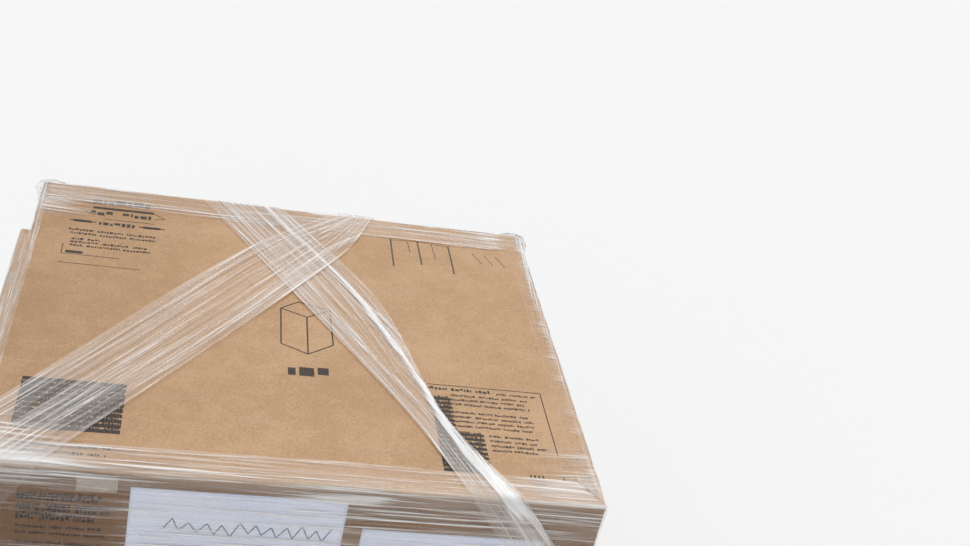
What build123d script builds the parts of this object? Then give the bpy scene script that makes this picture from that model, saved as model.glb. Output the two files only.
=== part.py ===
from build123d import *
import os

# Shrink wrapped pallet load: three cartons side by side on a timber pallet, one wider
# carton on top of them flush with the front, all held by stretch film. Two gathered
# bands of film cross over the top. Millimetres, +Z up, +Y towards the back, origin at
# the middle of the pallet's underside.

# Pallet
pallet_width = 1016.0           # across the fork entry, along X
pallet_depth = 1219.2           # along the stringers, Y
board_thickness = 15.9
lead_board_width = 139.7
inner_board_width = 88.9
lead_corner_radius = 9.0        # worn outer corners of the end boards
top_inner_boards = 5
bottom_inner_boards = 3
stringer_width = 38.1
stringer_height = 88.9
notch_from_end = 152.4
notch_length = 228.6
notch_height = 38.1
notch_radius = 12.7

# Cartons
edge_radius = 6.0               # folded board edges
lower_carton_height = 355.6
lower_carton_count = 3
lower_carton_gap = 1.0
upper_carton_width = 838.0
upper_carton_depth = 762.0
upper_carton_height = 355.6
upper_front_setback = 0.0       # from the front of the lower cartons
seam_gap = 2.5                  # where two outer flaps meet
seam_depth = 6.5                # thickness of the double wall board
joint_lap_width = 35.0          # glued lap at one upright corner
joint_groove_width = 1.2
joint_groove_depth = 1.5

# Carton tape
tape_width = 50.8
tape_thickness = 0.15
tape_tail = 64.0                # length folded down over each end
patch_from_left = 138.0
patch_height = 28.0
patch_below_top = 8.0

# Paper sheets on the front of the upper carton
sheet_thickness = 0.2
left_sheet_width = 279.4
left_sheet_height = 215.9
left_sheet_from_left = 205.0
left_sheet_below_top = 24.0
right_sheet_width = 254.0
right_sheet_height = 190.5
right_sheet_from_left = 509.0
right_sheet_below_top = 68.0

# Stretch film, several layers thick
film_clearance = 0.6            # from the film to the cartons
film_thickness = 1.0
film_above_deck_underside = 4.0
rim_front = 50.0                # film folded over the top, from each edge of the upper carton
rim_back = 66.0
rim_right = 35.0
rim_left = 14.0
shelf_rim = 60.0                # film folded over the exposed back carton
window_radius = 18.0
flare_reach = 45.0              # film standing off at the foot of the upper carton
flare_height = 90.0
flare_hem = 12.0

# Gathered bands, places measured on the upper carton from its front left top corner
band_clearance = 0.3
band_valley = 0.7               # thickness between two folds
band_ridge = 2.6                # thickness at a fold
band_folds = 12
band_foot = 6.0                 # height of the band ends above the flare
left_band_back = (500.0, 567.0)         # across the back edge
left_band_middle = (340.0, 486.0)       # part way across the top
left_band_middle_y = 600.0
left_band_corner = (92.0, 90.0)         # along the left and front edges from their corner
left_band_corner_drop = (30.0, 141.0)   # down the upright edge below that corner
left_band_back_lean = 0.70              # sideways run for each unit down the back
left_band_side_lean = 0.70
right_band_back = (262.0, 400.0)
right_band_middle = (412.0, 551.0)
right_band_middle_y = 485.0
right_band_pinch = (578.0, 632.0)
right_band_pinch_y = 168.0
right_band_front = (645.0, 722.0)
right_band_corner_drop = (255.0, 153.0)
right_band_back_lean = (0.46, 0.66)
right_band_side_lean = 0.84

# Levels and places that follow from the sizes
deck_underside = board_thickness + stringer_height
deck_top = deck_underside + board_thickness
lower_bottom = deck_top + tape_thickness
lower_top = lower_bottom + lower_carton_height
upper_bottom = lower_top + tape_thickness
upper_top = upper_bottom + upper_carton_height
half_width = pallet_width / 2
half_depth = pallet_depth / 2
upper_left = -upper_carton_width / 2
upper_right = upper_carton_width / 2
upper_front = -half_depth + upper_front_setback
upper_back = upper_front + upper_carton_depth


def block(x_span, y_span, z_span):
    """A plain box between three pairs of limits."""
    centre = [(low + high) / 2 for low, high in (x_span, y_span, z_span)]
    size = [high - low for low, high in (x_span, y_span, z_span)]
    return Pos(*centre) * Box(*size)


def grown(span, amount):
    """A pair of limits moved outwards by the same amount."""
    return span[0] - amount, span[1] + amount


def rounded_block(x_span, y_span, z_span, radius):
    """A box with every edge rounded."""
    solid = block(x_span, y_span, z_span)
    return fillet(solid.edges(), radius)


def hood(x_span, y_span, z_span, radius):
    """A box with its top and upright edges rounded and its foot left square."""
    solid = block(x_span, y_span, z_span)
    foot = solid.faces().sort_by(Axis.Z)[0].edges()
    return fillet([edge for edge in solid.edges() if edge not in foot], radius)


# Pallet

def stringer(x_centre):
    """A notched stringer: the notches let forks in from the sides."""
    half = stringer_width / 2
    beam = block((x_centre - half, x_centre + half), (-half_depth, half_depth),
                 (board_thickness, deck_underside))
    reach = notch_from_end + notch_length / 2
    for y_centre in (-half_depth + reach, half_depth - reach):
        cutter = Pos(x_centre, y_centre, board_thickness) * Box(
            stringer_width * 2, notch_length, notch_height * 2)
        cutter = fillet(cutter.edges().filter_by(Axis.X).group_by(Axis.Z)[-1], notch_radius)
        beam -= cutter
    return beam


def deck_board(y_centre, width, z_low, lead):
    """One board across the stringers. The end boards have worn corners."""
    board = block((-half_width, half_width), (y_centre - width / 2, y_centre + width / 2),
                  (z_low, z_low + board_thickness))
    if lead:
        board = fillet(board.edges().filter_by(Axis.Z), lead_corner_radius)
    return board


def board_rows(inner_count, inner_limit):
    """Centre, width and kind of each board in a deck, the inner ones evenly spaced."""
    rows = [(-half_depth + lead_board_width / 2, lead_board_width, True)]
    gap = (2 * inner_limit - inner_count * inner_board_width) / (inner_count + 1)
    for index in range(inner_count):
        low = -inner_limit + gap + index * (inner_board_width + gap)
        rows.append((low + inner_board_width / 2, inner_board_width, False))
    rows.append((half_depth - lead_board_width / 2, lead_board_width, True))
    return rows


def pallet():
    """Three stringers, the top deck and the bottom boards."""
    pieces = {}
    side = half_width - stringer_width / 2
    for name, x_centre in (("left", -side), ("middle", 0.0), ("right", side)):
        pieces[f"pallet_stringer_{name}"] = stringer(x_centre)
    for number, row in enumerate(board_rows(top_inner_boards, half_depth - lead_board_width), 1):
        y_centre, width, lead = row
        pieces[f"pallet_top_board_{number}"] = deck_board(y_centre, width, deck_underside, lead)
    between_notches = half_depth - notch_from_end - notch_length
    for number, row in enumerate(board_rows(bottom_inner_boards, between_notches), 1):
        y_centre, width, lead = row
        pieces[f"pallet_bottom_board_{number}"] = deck_board(y_centre, width, 0.0, lead)
    return pieces


# Cartons

def carton(x_span, y_span, z_span, flap_axis):
    """A closed carton with flap seams on two opposite faces and a glued upright lap.

    The seams run along X. They lie on the top and bottom for flap axis Z, and on the
    front and back for flap axis Y.
    """
    solid = rounded_block(x_span, y_span, z_span, edge_radius)
    seam_x = grown(x_span, seam_gap)
    middle_y = sum(y_span) / 2
    middle_z = sum(z_span) / 2
    half_gap = seam_gap / 2
    if flap_axis == "Z":
        for z_face in z_span:
            solid -= block(seam_x, (middle_y - half_gap, middle_y + half_gap),
                           (z_face - seam_depth, z_face + seam_depth))
    else:
        for y_face in y_span:
            solid -= block(seam_x, (y_face - seam_depth, y_face + seam_depth),
                           (middle_z - half_gap, middle_z + half_gap))
    lap_edge = x_span[1] - joint_lap_width
    groove = block((lap_edge, lap_edge + joint_groove_width),
                   (y_span[1] - joint_groove_depth, y_span[1] + joint_groove_depth),
                   grown(z_span, 1.0))
    return solid - groove


def carton_tape(x_span, y_span, z_span, face_axis, side):
    """A strip of tape along one flap seam, folded over both ends of the carton."""
    wrap = rounded_block(grown(x_span, tape_thickness), grown(y_span, tape_thickness),
                         grown(z_span, tape_thickness), edge_radius + tape_thickness)
    body = rounded_block(x_span, y_span, z_span, edge_radius)
    margin = 1.0
    long_way = grown(x_span, margin)
    span = y_span if face_axis == "Y" else z_span
    if side == "low":
        deep = (span[0] - margin, span[0] + tape_tail)
    else:
        deep = (span[1] - tape_tail, span[1] + margin)
    middle = sum(z_span if face_axis == "Y" else y_span) / 2
    wide = (middle - tape_width / 2, middle + tape_width / 2)
    strip = block(long_way, deep, wide) if face_axis == "Y" else block(long_way, wide, deep)
    return (wrap & strip) - body


def lower_carton_spans():
    """Name and Y limits of the cartons on the pallet, from front to back."""
    names = {1: ["middle"], 2: ["front", "back"], 3: ["front", "middle", "back"]}
    labels = names.get(lower_carton_count, [str(n + 1) for n in range(lower_carton_count)])
    gaps = (lower_carton_count - 1) * lower_carton_gap
    depth = (pallet_depth - gaps) / lower_carton_count
    spans = []
    for index, label in enumerate(labels):
        low = -half_depth + index * (depth + lower_carton_gap)
        spans.append((label, (low, low + depth)))
    return spans


def cartons():
    """The cartons with the tape that closes their flaps."""
    pieces = {}
    x_span = (-half_width, half_width)
    z_span = (lower_bottom, lower_top)
    for label, y_span in lower_carton_spans():
        pieces[f"carton_lower_{label}"] = carton(x_span, y_span, z_span, "Z")
        pieces[f"tape_lower_{label}_top"] = carton_tape(x_span, y_span, z_span, "Z", "high")
        pieces[f"tape_lower_{label}_bottom"] = carton_tape(x_span, y_span, z_span, "Z", "low")
    x_span = (upper_left, upper_right)
    y_span = (upper_front, upper_back)
    z_span = (upper_bottom, upper_top)
    pieces["carton_upper"] = carton(x_span, y_span, z_span, "Y")
    pieces["tape_upper_front"] = carton_tape(x_span, y_span, z_span, "Y", "low")
    pieces["tape_upper_back"] = carton_tape(x_span, y_span, z_span, "Y", "high")
    return pieces


def front_sheet(from_left, below_top, width, height, stand_off, thickness):
    """A thin rectangle flat on the front of the upper carton."""
    left = upper_left + from_left
    top = upper_top - below_top
    face = upper_front - stand_off
    return block((left, left + width), (face - thickness, face), (top - height, top))


def papers():
    """Two paper sheets, which lie over the flap tape, and a short patch of tape."""
    return {
        "label_sheet_left": front_sheet(left_sheet_from_left, left_sheet_below_top,
                                        left_sheet_width, left_sheet_height,
                                        tape_thickness, sheet_thickness),
        "label_sheet_right": front_sheet(right_sheet_from_left, right_sheet_below_top,
                                         right_sheet_width, right_sheet_height,
                                         tape_thickness, sheet_thickness),
        "tape_patch_front": front_sheet(patch_from_left, patch_below_top, tape_width,
                                        patch_height, 0.0, tape_thickness),
    }


# Stretch film

def flare(offset):
    """The film standing off round the foot of the upper carton, flush at the front."""
    front = upper_front - offset
    sections = []
    for reach, level in ((flare_reach, lower_top), (0.0, upper_bottom + flare_height)):
        left = upper_left - offset - reach
        right = upper_right + offset + reach
        back = upper_back + offset + reach
        outline = Polyline((left, front, level), (right, front, level),
                           (right, back, level), (left, back, level), close=True)
        sections.append(Face(Wire(outline.edges())))
    return loft(sections, ruled=True)


def film_envelope(offset, foot):
    """The outside of the wrapped load, grown by an offset and open at its foot."""
    radius = edge_radius + offset
    lower = hood(grown((-half_width, half_width), offset), grown((-half_depth, half_depth), offset),
                 (foot, lower_top + offset), radius)
    upper = hood(grown((upper_left, upper_right), offset), grown((upper_front, upper_back), offset),
                 (lower_bottom, upper_top + offset), radius)
    return lower + upper + flare(offset)


def window(x_span, y_span, level):
    """A cutter for the bare middle of a top face, between the folded film rims."""
    height = film_clearance + film_thickness
    cutter = block(x_span, y_span, (level + film_clearance / 2, level + 2 * height))
    return fillet(cutter.edges().filter_by(Axis.Z), window_radius)


def film_wrap():
    """The stretch film skin: a hood with its rims folded over the top edges."""
    foot = deck_underside + film_above_deck_underside
    outer = film_envelope(film_clearance + film_thickness, foot)
    inner = film_envelope(film_clearance, foot - film_thickness)
    top_window = window((upper_left + rim_left, upper_right - rim_right),
                        (upper_front + rim_front, upper_back - rim_back), upper_top)
    shelf_front = upper_back + film_clearance + film_thickness + flare_reach + flare_hem
    shelf_window = window((-half_width + shelf_rim, half_width - shelf_rim),
                          (shelf_front, half_depth - shelf_rim), lower_top)
    return outer - inner - top_window - shelf_window


# Gathered bands

def fold_heights():
    """Share of the way across and thickness at each valley and ridge of a band."""
    steps = 2 * band_folds
    return [(step / steps, band_ridge if step % 2 else band_valley) for step in range(steps + 1)]


def between(knots, share):
    """The point and the outward direction part way across a section."""
    for near, far in zip(knots, knots[1:]):
        if share <= far[0]:
            part = (share - near[0]) / (far[0] - near[0])
            return [low + (high - low) * part for low, high in zip(near[1:], far[1:])]
    return knots[-1][1:]


def band_section(*knots):
    """One cross section of a band, through knots of share across, point and direction.

    The base runs from knot to knot on the load's surface. Each fold stands out along the
    outward direction, which is the mitre of both faces where the band turns an edge.
    """
    knots = [(share, Vector(*point), Vector(*outward)) for share, point, outward in knots]
    folds = []
    for share, height in fold_heights():
        point, outward = between(knots, share)
        folds.append(point + outward * height)
    base = [point for _, point, _ in knots]
    return [base[0], *folds, *base[:0:-1]]


def straight_section(start, end, outward):
    """A cross section on a straight line, with a knot half way to match the bent ones."""
    half = [(low + high) / 2 for low, high in zip(start, end)]
    return band_section((0, start, outward), (0.5, half, outward), (1, end, outward))


def facet(points):
    """A flat face through three or more points."""
    return Face(Wire(Polyline(*points, close=True).edges()))


def folded_strip(sections):
    """A solid of flat facets between cross sections that have as many points each."""
    faces = [facet(sections[0]), facet(sections[-1])]
    for near, far in zip(sections, sections[1:]):
        count = len(near)
        for index in range(count):
            following = (index + 1) % count
            faces.append(facet((near[index], near[following], far[following])))
            faces.append(facet((near[index], far[following], far[index])))
    return Solid(Shell(faces))


def band_frame(stand_off):
    """The box on which a band lies: left, right, front, back and top, and its foot."""
    return (upper_left - stand_off, upper_right + stand_off, upper_front - stand_off,
            upper_back + stand_off, upper_top + stand_off,
            upper_bottom + flare_height + band_foot)


def left_band(stand_off):
    """From the foot of the back, over the top and down over the front left corner.

    Half of the band crosses the left edge and goes straight down the left side. The other
    half crosses the front edge and turns the upright edge below the corner first.
    """
    left, right, front, back, top, foot = band_frame(stand_off)
    drop = top - foot
    back_x = [upper_left + place for place in left_band_back]
    middle_x = [upper_left + place for place in left_band_middle]
    middle_y = upper_front + left_band_middle_y
    foot_x = [place + left_band_back_lean * drop for place in back_x]
    side_y = front + left_band_corner[0]
    front_x = left + left_band_corner[1]
    near_z, far_z = [top - place for place in left_band_corner_drop]
    upright_y = side_y + left_band_side_lean * (top - near_z)
    foot_y = [place + left_band_side_lean * (level - foot)
              for place, level in ((side_y, top), (front, near_z), (front, far_z))]
    sections = [
        straight_section((foot_x[0], back, foot), (foot_x[1], back, foot), (0, 1, 0)),
        straight_section((back_x[0], back, top), (back_x[1], back, top), (0, 1, 1)),
        straight_section((middle_x[0], middle_y, top), (middle_x[1], middle_y, top), (0, 0, 1)),
        band_section((0, (left, side_y, top), (-1, 0, 1)),
                     (0.5, (left, front, top), (-1, -1, 1)),
                     (1, (front_x, front, top), (0, -1, 1))),
        band_section((0, (left, upright_y, near_z), (-1, 0, 0)),
                     (0.5, (left, front, near_z), (-1, -1, 0)),
                     (1, (left, front, far_z), (-1, -1, 0))),
        band_section((0, (left, foot_y[0], foot), (-1, 0, 0)),
                     (0.5, (left, foot_y[1], foot), (-1, 0, 0)),
                     (1, (left, foot_y[2], foot), (-1, 0, 0))),
    ]
    return folded_strip(sections)


def right_band(stand_off):
    """From the foot of the back, over the top, drawn in, then round the front right."""
    left, right, front, back, top, foot = band_frame(stand_off)
    drop = top - foot
    back_x = [upper_left + place for place in right_band_back]
    middle_x = [upper_left + place for place in right_band_middle]
    pinch_x = [upper_left + place for place in right_band_pinch]
    front_x = [upper_left + place for place in right_band_front]
    corner_z = [top - place for place in right_band_corner_drop]
    middle_y = upper_front + right_band_middle_y
    pinch_y = upper_front + right_band_pinch_y
    foot_x = [place - lean * drop for place, lean in zip(back_x, right_band_back_lean)]
    foot_y = [front + right_band_side_lean * (level - foot) for level in corner_z]
    sections = [
        straight_section((foot_x[0], back, foot), (foot_x[1], back, foot), (0, 1, 0)),
        straight_section((back_x[0], back, top), (back_x[1], back, top), (0, 1, 1)),
        straight_section((middle_x[0], middle_y, top), (middle_x[1], middle_y, top), (0, 0, 1)),
        straight_section((pinch_x[0], pinch_y, top), (pinch_x[1], pinch_y, top), (0, 0, 1)),
        straight_section((front_x[0], front, top), (front_x[1], front, top), (0, -1, 1)),
        straight_section((right, front, corner_z[0]), (right, front, corner_z[1]), (1, -1, 0)),
        straight_section((right, foot_y[0], foot), (right, foot_y[1], foot), (1, 0, 0)),
    ]
    return folded_strip(sections)


def film():
    """The skin and the two bands, the left band lying across the right one."""
    on_skin = film_clearance + film_thickness + band_clearance
    on_band = on_skin + band_ridge + band_clearance
    return {
        "film_wrap": film_wrap(),
        "film_band_right": right_band(on_skin),
        "film_band_left": left_band(on_band),
    }


def write_parts():
    """Write each piece to its own file."""
    os.makedirs("parts", exist_ok=True)
    pieces = {**pallet(), **cartons(), **papers(), **film()}
    for name, solid in pieces.items():
        export_step(solid, f"parts/{name}.step")


write_parts()
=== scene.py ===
import logging
import math
from dataclasses import dataclass, field
from enum import Enum
from typing import Iterable, Optional, Sequence, Union

import bpy
import numpy as np
from mathutils import Matrix, Vector


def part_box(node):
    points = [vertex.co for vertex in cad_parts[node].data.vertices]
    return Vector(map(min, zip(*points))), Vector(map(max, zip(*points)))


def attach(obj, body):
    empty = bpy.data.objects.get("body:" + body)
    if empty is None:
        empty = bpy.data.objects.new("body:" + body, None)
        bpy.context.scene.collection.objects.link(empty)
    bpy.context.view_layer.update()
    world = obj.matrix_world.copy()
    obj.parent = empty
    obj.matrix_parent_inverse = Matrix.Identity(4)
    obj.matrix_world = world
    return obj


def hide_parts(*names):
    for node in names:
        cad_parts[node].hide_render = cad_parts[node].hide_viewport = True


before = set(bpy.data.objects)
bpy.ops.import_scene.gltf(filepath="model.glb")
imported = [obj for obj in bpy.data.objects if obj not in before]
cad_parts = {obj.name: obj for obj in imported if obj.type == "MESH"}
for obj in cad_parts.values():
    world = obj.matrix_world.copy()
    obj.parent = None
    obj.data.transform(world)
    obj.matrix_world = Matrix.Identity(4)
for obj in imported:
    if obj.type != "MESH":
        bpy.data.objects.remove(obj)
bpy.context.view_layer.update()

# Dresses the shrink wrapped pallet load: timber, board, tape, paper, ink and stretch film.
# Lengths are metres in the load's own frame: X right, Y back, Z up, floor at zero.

BODY = "root"
LOG = logging.getLogger("pallet_load")

Span = tuple[float, float]
Triple = tuple[float, float, float]
Socket = bpy.types.NodeSocket
Feed = Union[float, Socket]
Material = bpy.types.Material
Array = np.ndarray
Numbers = Union[float, Array]


def spans_of(node: str) -> tuple[Span, Span, Span]:
    """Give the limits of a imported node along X, Y and Z."""
    low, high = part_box(node)
    return tuple((low[axis], high[axis]) for axis in range(3))


# Smooth random fields

def lattice(ix: Array, iy: Array, seed: int) -> Array:
    """Give a repeatable random number from 0 to 1 at whole coordinates.

    Args:
        ix: Whole first coordinates.
        iy: Whole second coordinates.
        seed: Number of the field.

    Returns:
        One random number for each pair of coordinates.
    """
    mask = np.uint64(0xFFFFFFFF)
    mixed = (ix.astype(np.int64).astype(np.uint64) * np.uint64(374761393)
             + iy.astype(np.int64).astype(np.uint64) * np.uint64(668265263)
             + np.uint64(seed * 1274126177 + 97)) & mask
    mixed = ((mixed ^ (mixed >> np.uint64(13))) * np.uint64(1274126177)) & mask
    mixed = (mixed ^ (mixed >> np.uint64(16))) & mask
    return mixed.astype(np.float64) / float(0xFFFFFFFF)


def field_noise(x: Array, y: Array, seed: int) -> Array:
    """Give a smooth random field from -1 to 1 with features one unit across.

    Args:
        x: First coordinates.
        y: Second coordinates.
        seed: Number of the field.

    Returns:
        The field at each point.
    """
    x, y = np.broadcast_arrays(np.asarray(x, float), np.asarray(y, float))
    ix, iy = np.floor(x), np.floor(y)
    fx, fy = x - ix, y - iy
    fx = fx * fx * (3 - 2 * fx)
    fy = fy * fy * (3 - 2 * fy)
    near = lattice(ix, iy, seed) * (1 - fx) + lattice(ix + 1, iy, seed) * fx
    far = lattice(ix, iy + 1, seed) * (1 - fx) + lattice(ix + 1, iy + 1, seed) * fx
    return (near * (1 - fy) + far * fy) * 2 - 1


def layered_noise(x: Array, y: Array, seed: int, octaves: int = 3) -> Array:
    """Add finer and weaker fields to a smooth random field.

    Args:
        x: First coordinates.
        y: Second coordinates.
        seed: Number of the first field.
        octaves: How many fields are added.

    Returns:
        The summed field, roughly from -1 to 1.
    """
    total = 0.0
    for octave in range(octaves):
        grow = 2.0 ** octave
        layer = field_noise(np.asarray(x) * grow, np.asarray(y) * grow, seed + octave)
        total = total + layer / grow
    return total / (2 - 2.0 ** (1 - octaves))


def ease(value: Array, low: float, high: float) -> Array:
    """Rise smoothly from 0 at the low value to 1 at the high one, which may be the smaller."""
    share = np.clip((np.asarray(value, float) - low) / (high - low), 0.0, 1.0)
    return share * share * (3 - 2 * share)


# Share of a rounded edge's radius at which grid lines turn it
TURNS = (0.0, 0.27, 0.58, 1.0)


def stations(span: Span, spacing: float, radius: float, extra: Sequence[float] = ()) -> Array:
    """Place grid lines along an edge, close together at both rounded ends.

    Args:
        span: Limits of the edge.
        spacing: Largest distance between lines in the middle.
        radius: Radius of the rounded ends.
        extra: Places that need a line of their own.

    Returns:
        The sorted places.
    """
    low, high = span
    ends = [low + radius * share for share in TURNS] + [high - radius * share for share in TURNS]
    count = max(2, int(math.ceil((high - low - 2 * radius) / spacing)) + 1)
    middle = np.linspace(low + radius, high - radius, count)
    inside = [place for place in extra if low < place < high]
    return np.unique(np.round(np.concatenate([ends, middle, inside]), 6))


# Materials

class Recipe:
    """Wires the nodes of one material."""

    def __init__(self, name: str) -> None:
        """Start an empty material.

        Args:
            name: Name of the material.
        """
        self.material = bpy.data.materials.new(name)
        self.material.use_nodes = True
        self.tree = self.material.node_tree
        self.tree.nodes.clear()
        self.output = self.tree.nodes.new("ShaderNodeOutputMaterial")

    def node(self, kind: str, feeds: Optional[dict[str, object]] = None,
             **settings: object) -> bpy.types.Node:
        """Add a node.

        Args:
            kind: Blender's name for the node type.
            feeds: Numbers, colours or sockets for its named inputs.
            **settings: Options of the node itself.

        Returns:
            The new node.
        """
        made = self.tree.nodes.new(kind)
        for option, value in settings.items():
            setattr(made, option, value)
        for label, value in (feeds or {}).items():
            self.feed(made.inputs[label], value)
        return made

    def feed(self, socket: Socket, value: object) -> None:
        """Give a socket a value or link it to another socket.

        Args:
            socket: The input to fill.
            value: A number, a tuple or an output socket.
        """
        if isinstance(value, bpy.types.NodeSocket):
            self.tree.links.new(value, socket)
        elif isinstance(value, tuple) and len(value) == 3 and socket.type == "RGBA":
            socket.default_value = (*value, 1.0)
        else:
            socket.default_value = value

    def math(self, operation: str, first: Feed, second: Feed = 0.0, clamp: bool = False) -> Socket:
        """Combine two numbers.

        Args:
            operation: Name of the operation, such as MULTIPLY.
            first: First number or socket.
            second: Second number or socket.
            clamp: Whether the result stays from 0 to 1.

        Returns:
            The resulting socket.
        """
        made = self.node("ShaderNodeMath", operation=operation, use_clamp=clamp)
        self.feed(made.inputs[0], first)
        self.feed(made.inputs[1], second)
        return made.outputs[0]

    def times(self, first: Feed, second: Feed) -> Socket:
        """Multiply two numbers."""
        return self.math("MULTIPLY", first, second)

    def plus(self, first: Feed, second: Feed) -> Socket:
        """Add two numbers."""
        return self.math("ADD", first, second)

    def line(self, value: Feed, gain: float, base: float) -> Socket:
        """Scale a number and add a base to it."""
        return self.plus(self.times(value, gain), base)

    def most(self, first: Feed, second: Feed) -> Socket:
        """Give the larger of two numbers."""
        return self.math("MAXIMUM", first, second)

    def blend(self, share: Feed, low: object, high: object, mode: str = "MIX") -> Socket:
        """Blend two colours.

        Args:
            share: How much of the second colour shows.
            low: First colour or socket.
            high: Second colour or socket.
            mode: Blend mode.

        Returns:
            The colour socket.
        """
        made = self.node("ShaderNodeMix", data_type="RGBA", blend_type=mode)
        for socket, value in ((0, share), (6, low), (7, high)):
            self.feed(made.inputs[socket], value)
        return made.outputs[2]

    def remap(self, value: Feed, low: float, high: float, to_low: float = 0.0,
              to_high: float = 1.0) -> Socket:
        """Map a range of values smoothly onto another and clamp it.

        Args:
            value: Number or socket to map.
            low: Start of the source range.
            high: End of the source range.
            to_low: Result at the start.
            to_high: Result at the end.

        Returns:
            The mapped socket.
        """
        made = self.node("ShaderNodeMapRange", {
            "Value": value, "From Min": low, "From Max": high, "To Min": to_low, "To Max": to_high},
            interpolation_type="SMOOTHSTEP")
        return made.outputs["Result"]

    def attribute(self, name: str, output: str = "Vector") -> Socket:
        """Read a named attribute of the mesh."""
        return self.node("ShaderNodeAttribute", attribute_name=name).outputs[output]

    def place(self) -> Socket:
        """Give the object's own coordinates, which are the load's metres."""
        return self.node("ShaderNodeTexCoord").outputs["Object"]

    def scaled(self, vector: Socket, scale: Triple) -> Socket:
        """Stretch coordinates by a factor along each axis."""
        return self.node("ShaderNodeMapping", {"Vector": vector, "Scale": scale}).outputs["Vector"]

    def noise(self, vector: Socket, scale: float, detail: float = 3.0, roughness: float = 0.5,
              distortion: float = 0.0) -> Socket:
        """Give a grey noise from about 0 to 1.

        Args:
            vector: Coordinates.
            scale: Features for each metre.
            detail: How many finer layers are added.
            roughness: Strength of the finer layers.
            distortion: How far the features are bent.

        Returns:
            The noise socket.
        """
        return self.node("ShaderNodeTexNoise", {
            "Vector": vector, "Scale": scale, "Detail": detail, "Roughness": roughness,
            "Distortion": distortion}).outputs["Fac"]

    def bump(self, height: Socket, distance: float, strength: float = 1.0,
             normal: Optional[Socket] = None) -> Socket:
        """Turn a height into a bent normal.

        Args:
            height: Height from 0 to 1.
            distance: Depth that 1 stands for, in metres.
            strength: Share of the effect.
            normal: Normal from an earlier bump.

        Returns:
            The normal socket.
        """
        feeds = {"Height": height, "Distance": distance, "Strength": strength}
        if normal is not None:
            feeds["Normal"] = normal
        return self.node("ShaderNodeBump", feeds).outputs["Normal"]

    def finish(self, feeds: dict[str, object]) -> Material:
        """Close the material with one Principled shader.

        Args:
            feeds: Values and sockets for the shader's inputs.

        Returns:
            The finished material.
        """
        shader = self.node("ShaderNodeBsdfPrincipled", feeds)
        self.tree.links.new(shader.outputs["BSDF"], self.output.inputs["Surface"])
        return self.material


@dataclass(frozen=True)
class KraftBoard:
    """Brown corrugated board with fibres, mottling, faint flutes and painted shade on its upright
    panels.
    """

    name: str = "kraft_board"
    pale: Triple = (0.630, 0.408, 0.245)  # colour of the pale patches
    deep: Triple = (0.470, 0.280, 0.150)  # colour of the dark patches
    fleck: Triple = (0.270, 0.160, 0.085)  # colour of the dark fibres
    bright: Triple = (0.690, 0.480, 0.290)  # colour of the pale fibres
    worn: Triple = (0.66, 0.47, 0.30)  # colour of the rubbed folds
    # Painted shade multiplied into the upright panels, deeper toward the left, and faintly into the left
    # of the tops
    shade: Triple = (0.30, 0.22, 0.15)
    flute_pitch: float = 0.0075  # distance between flutes, in metres
    flute_depth: float = 0.00006  # depth at which the flutes print through

    def material(self) -> Material:
        """Make the board's material.

        Returns:
            The new material.
        """
        recipe = Recipe(self.name)
        place = recipe.place()
        panel = recipe.attribute("board")
        clouds = recipe.noise(place, 6.0, 3.0, 0.55, 0.3)
        patches = recipe.noise(place, 34.0, 3.0, 0.60)
        mottle = recipe.noise(place, 340.0, 3.0, 0.70)
        grain = recipe.noise(place, 640.0, 3.0, 0.75)
        fibres = recipe.noise(recipe.scaled(place, (330.0, 820.0, 640.0)), 1.0, 2.0, 0.6, 0.8)
        tone = recipe.plus(recipe.times(clouds, 0.30), recipe.times(patches, 0.24))
        tone = recipe.plus(tone, recipe.times(mottle, 0.46))
        colour = recipe.blend(recipe.remap(tone, 0.40, 0.60), self.deep, self.pale)
        grainy = recipe.remap(grain, 0.34, 0.70, 0.0, 0.30)
        colour = recipe.blend(grainy, colour, self.bright)
        flecks = recipe.remap(fibres, 0.60, 0.72, 0.0, 0.75)
        colour = recipe.blend(flecks, colour, self.fleck)
        # Painted shade: the upright attribute darkens the walls and the left of the tops
        colour = recipe.blend(recipe.attribute("upright", "Fac"), colour, self.shade, "MULTIPLY")
        wear = recipe.attribute("wear", "Fac")
        rubbed = recipe.times(wear, recipe.remap(patches, 0.35, 0.65, 0.35, 1.0))
        colour = recipe.blend(rubbed, colour, self.worn)
        flutes = recipe.node("ShaderNodeTexWave", {
            "Vector": recipe.scaled(panel, (1.0, 0.02, 0.02)),
            "Scale": 0.5 / self.flute_pitch, "Distortion": 0.4}).outputs["Fac"]
        normal = recipe.bump(flutes, self.flute_depth)
        normal = recipe.bump(mottle, 0.00018, 0.7, normal)
        normal = recipe.bump(clouds, 0.0010, 0.4, normal)
        rough = recipe.remap(patches, 0.3, 0.7, 0.72, 0.90)
        return recipe.finish({"Base Color": colour, "Roughness": rough, "Normal": normal,
                              "Specular IOR Level": 0.28})


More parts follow.
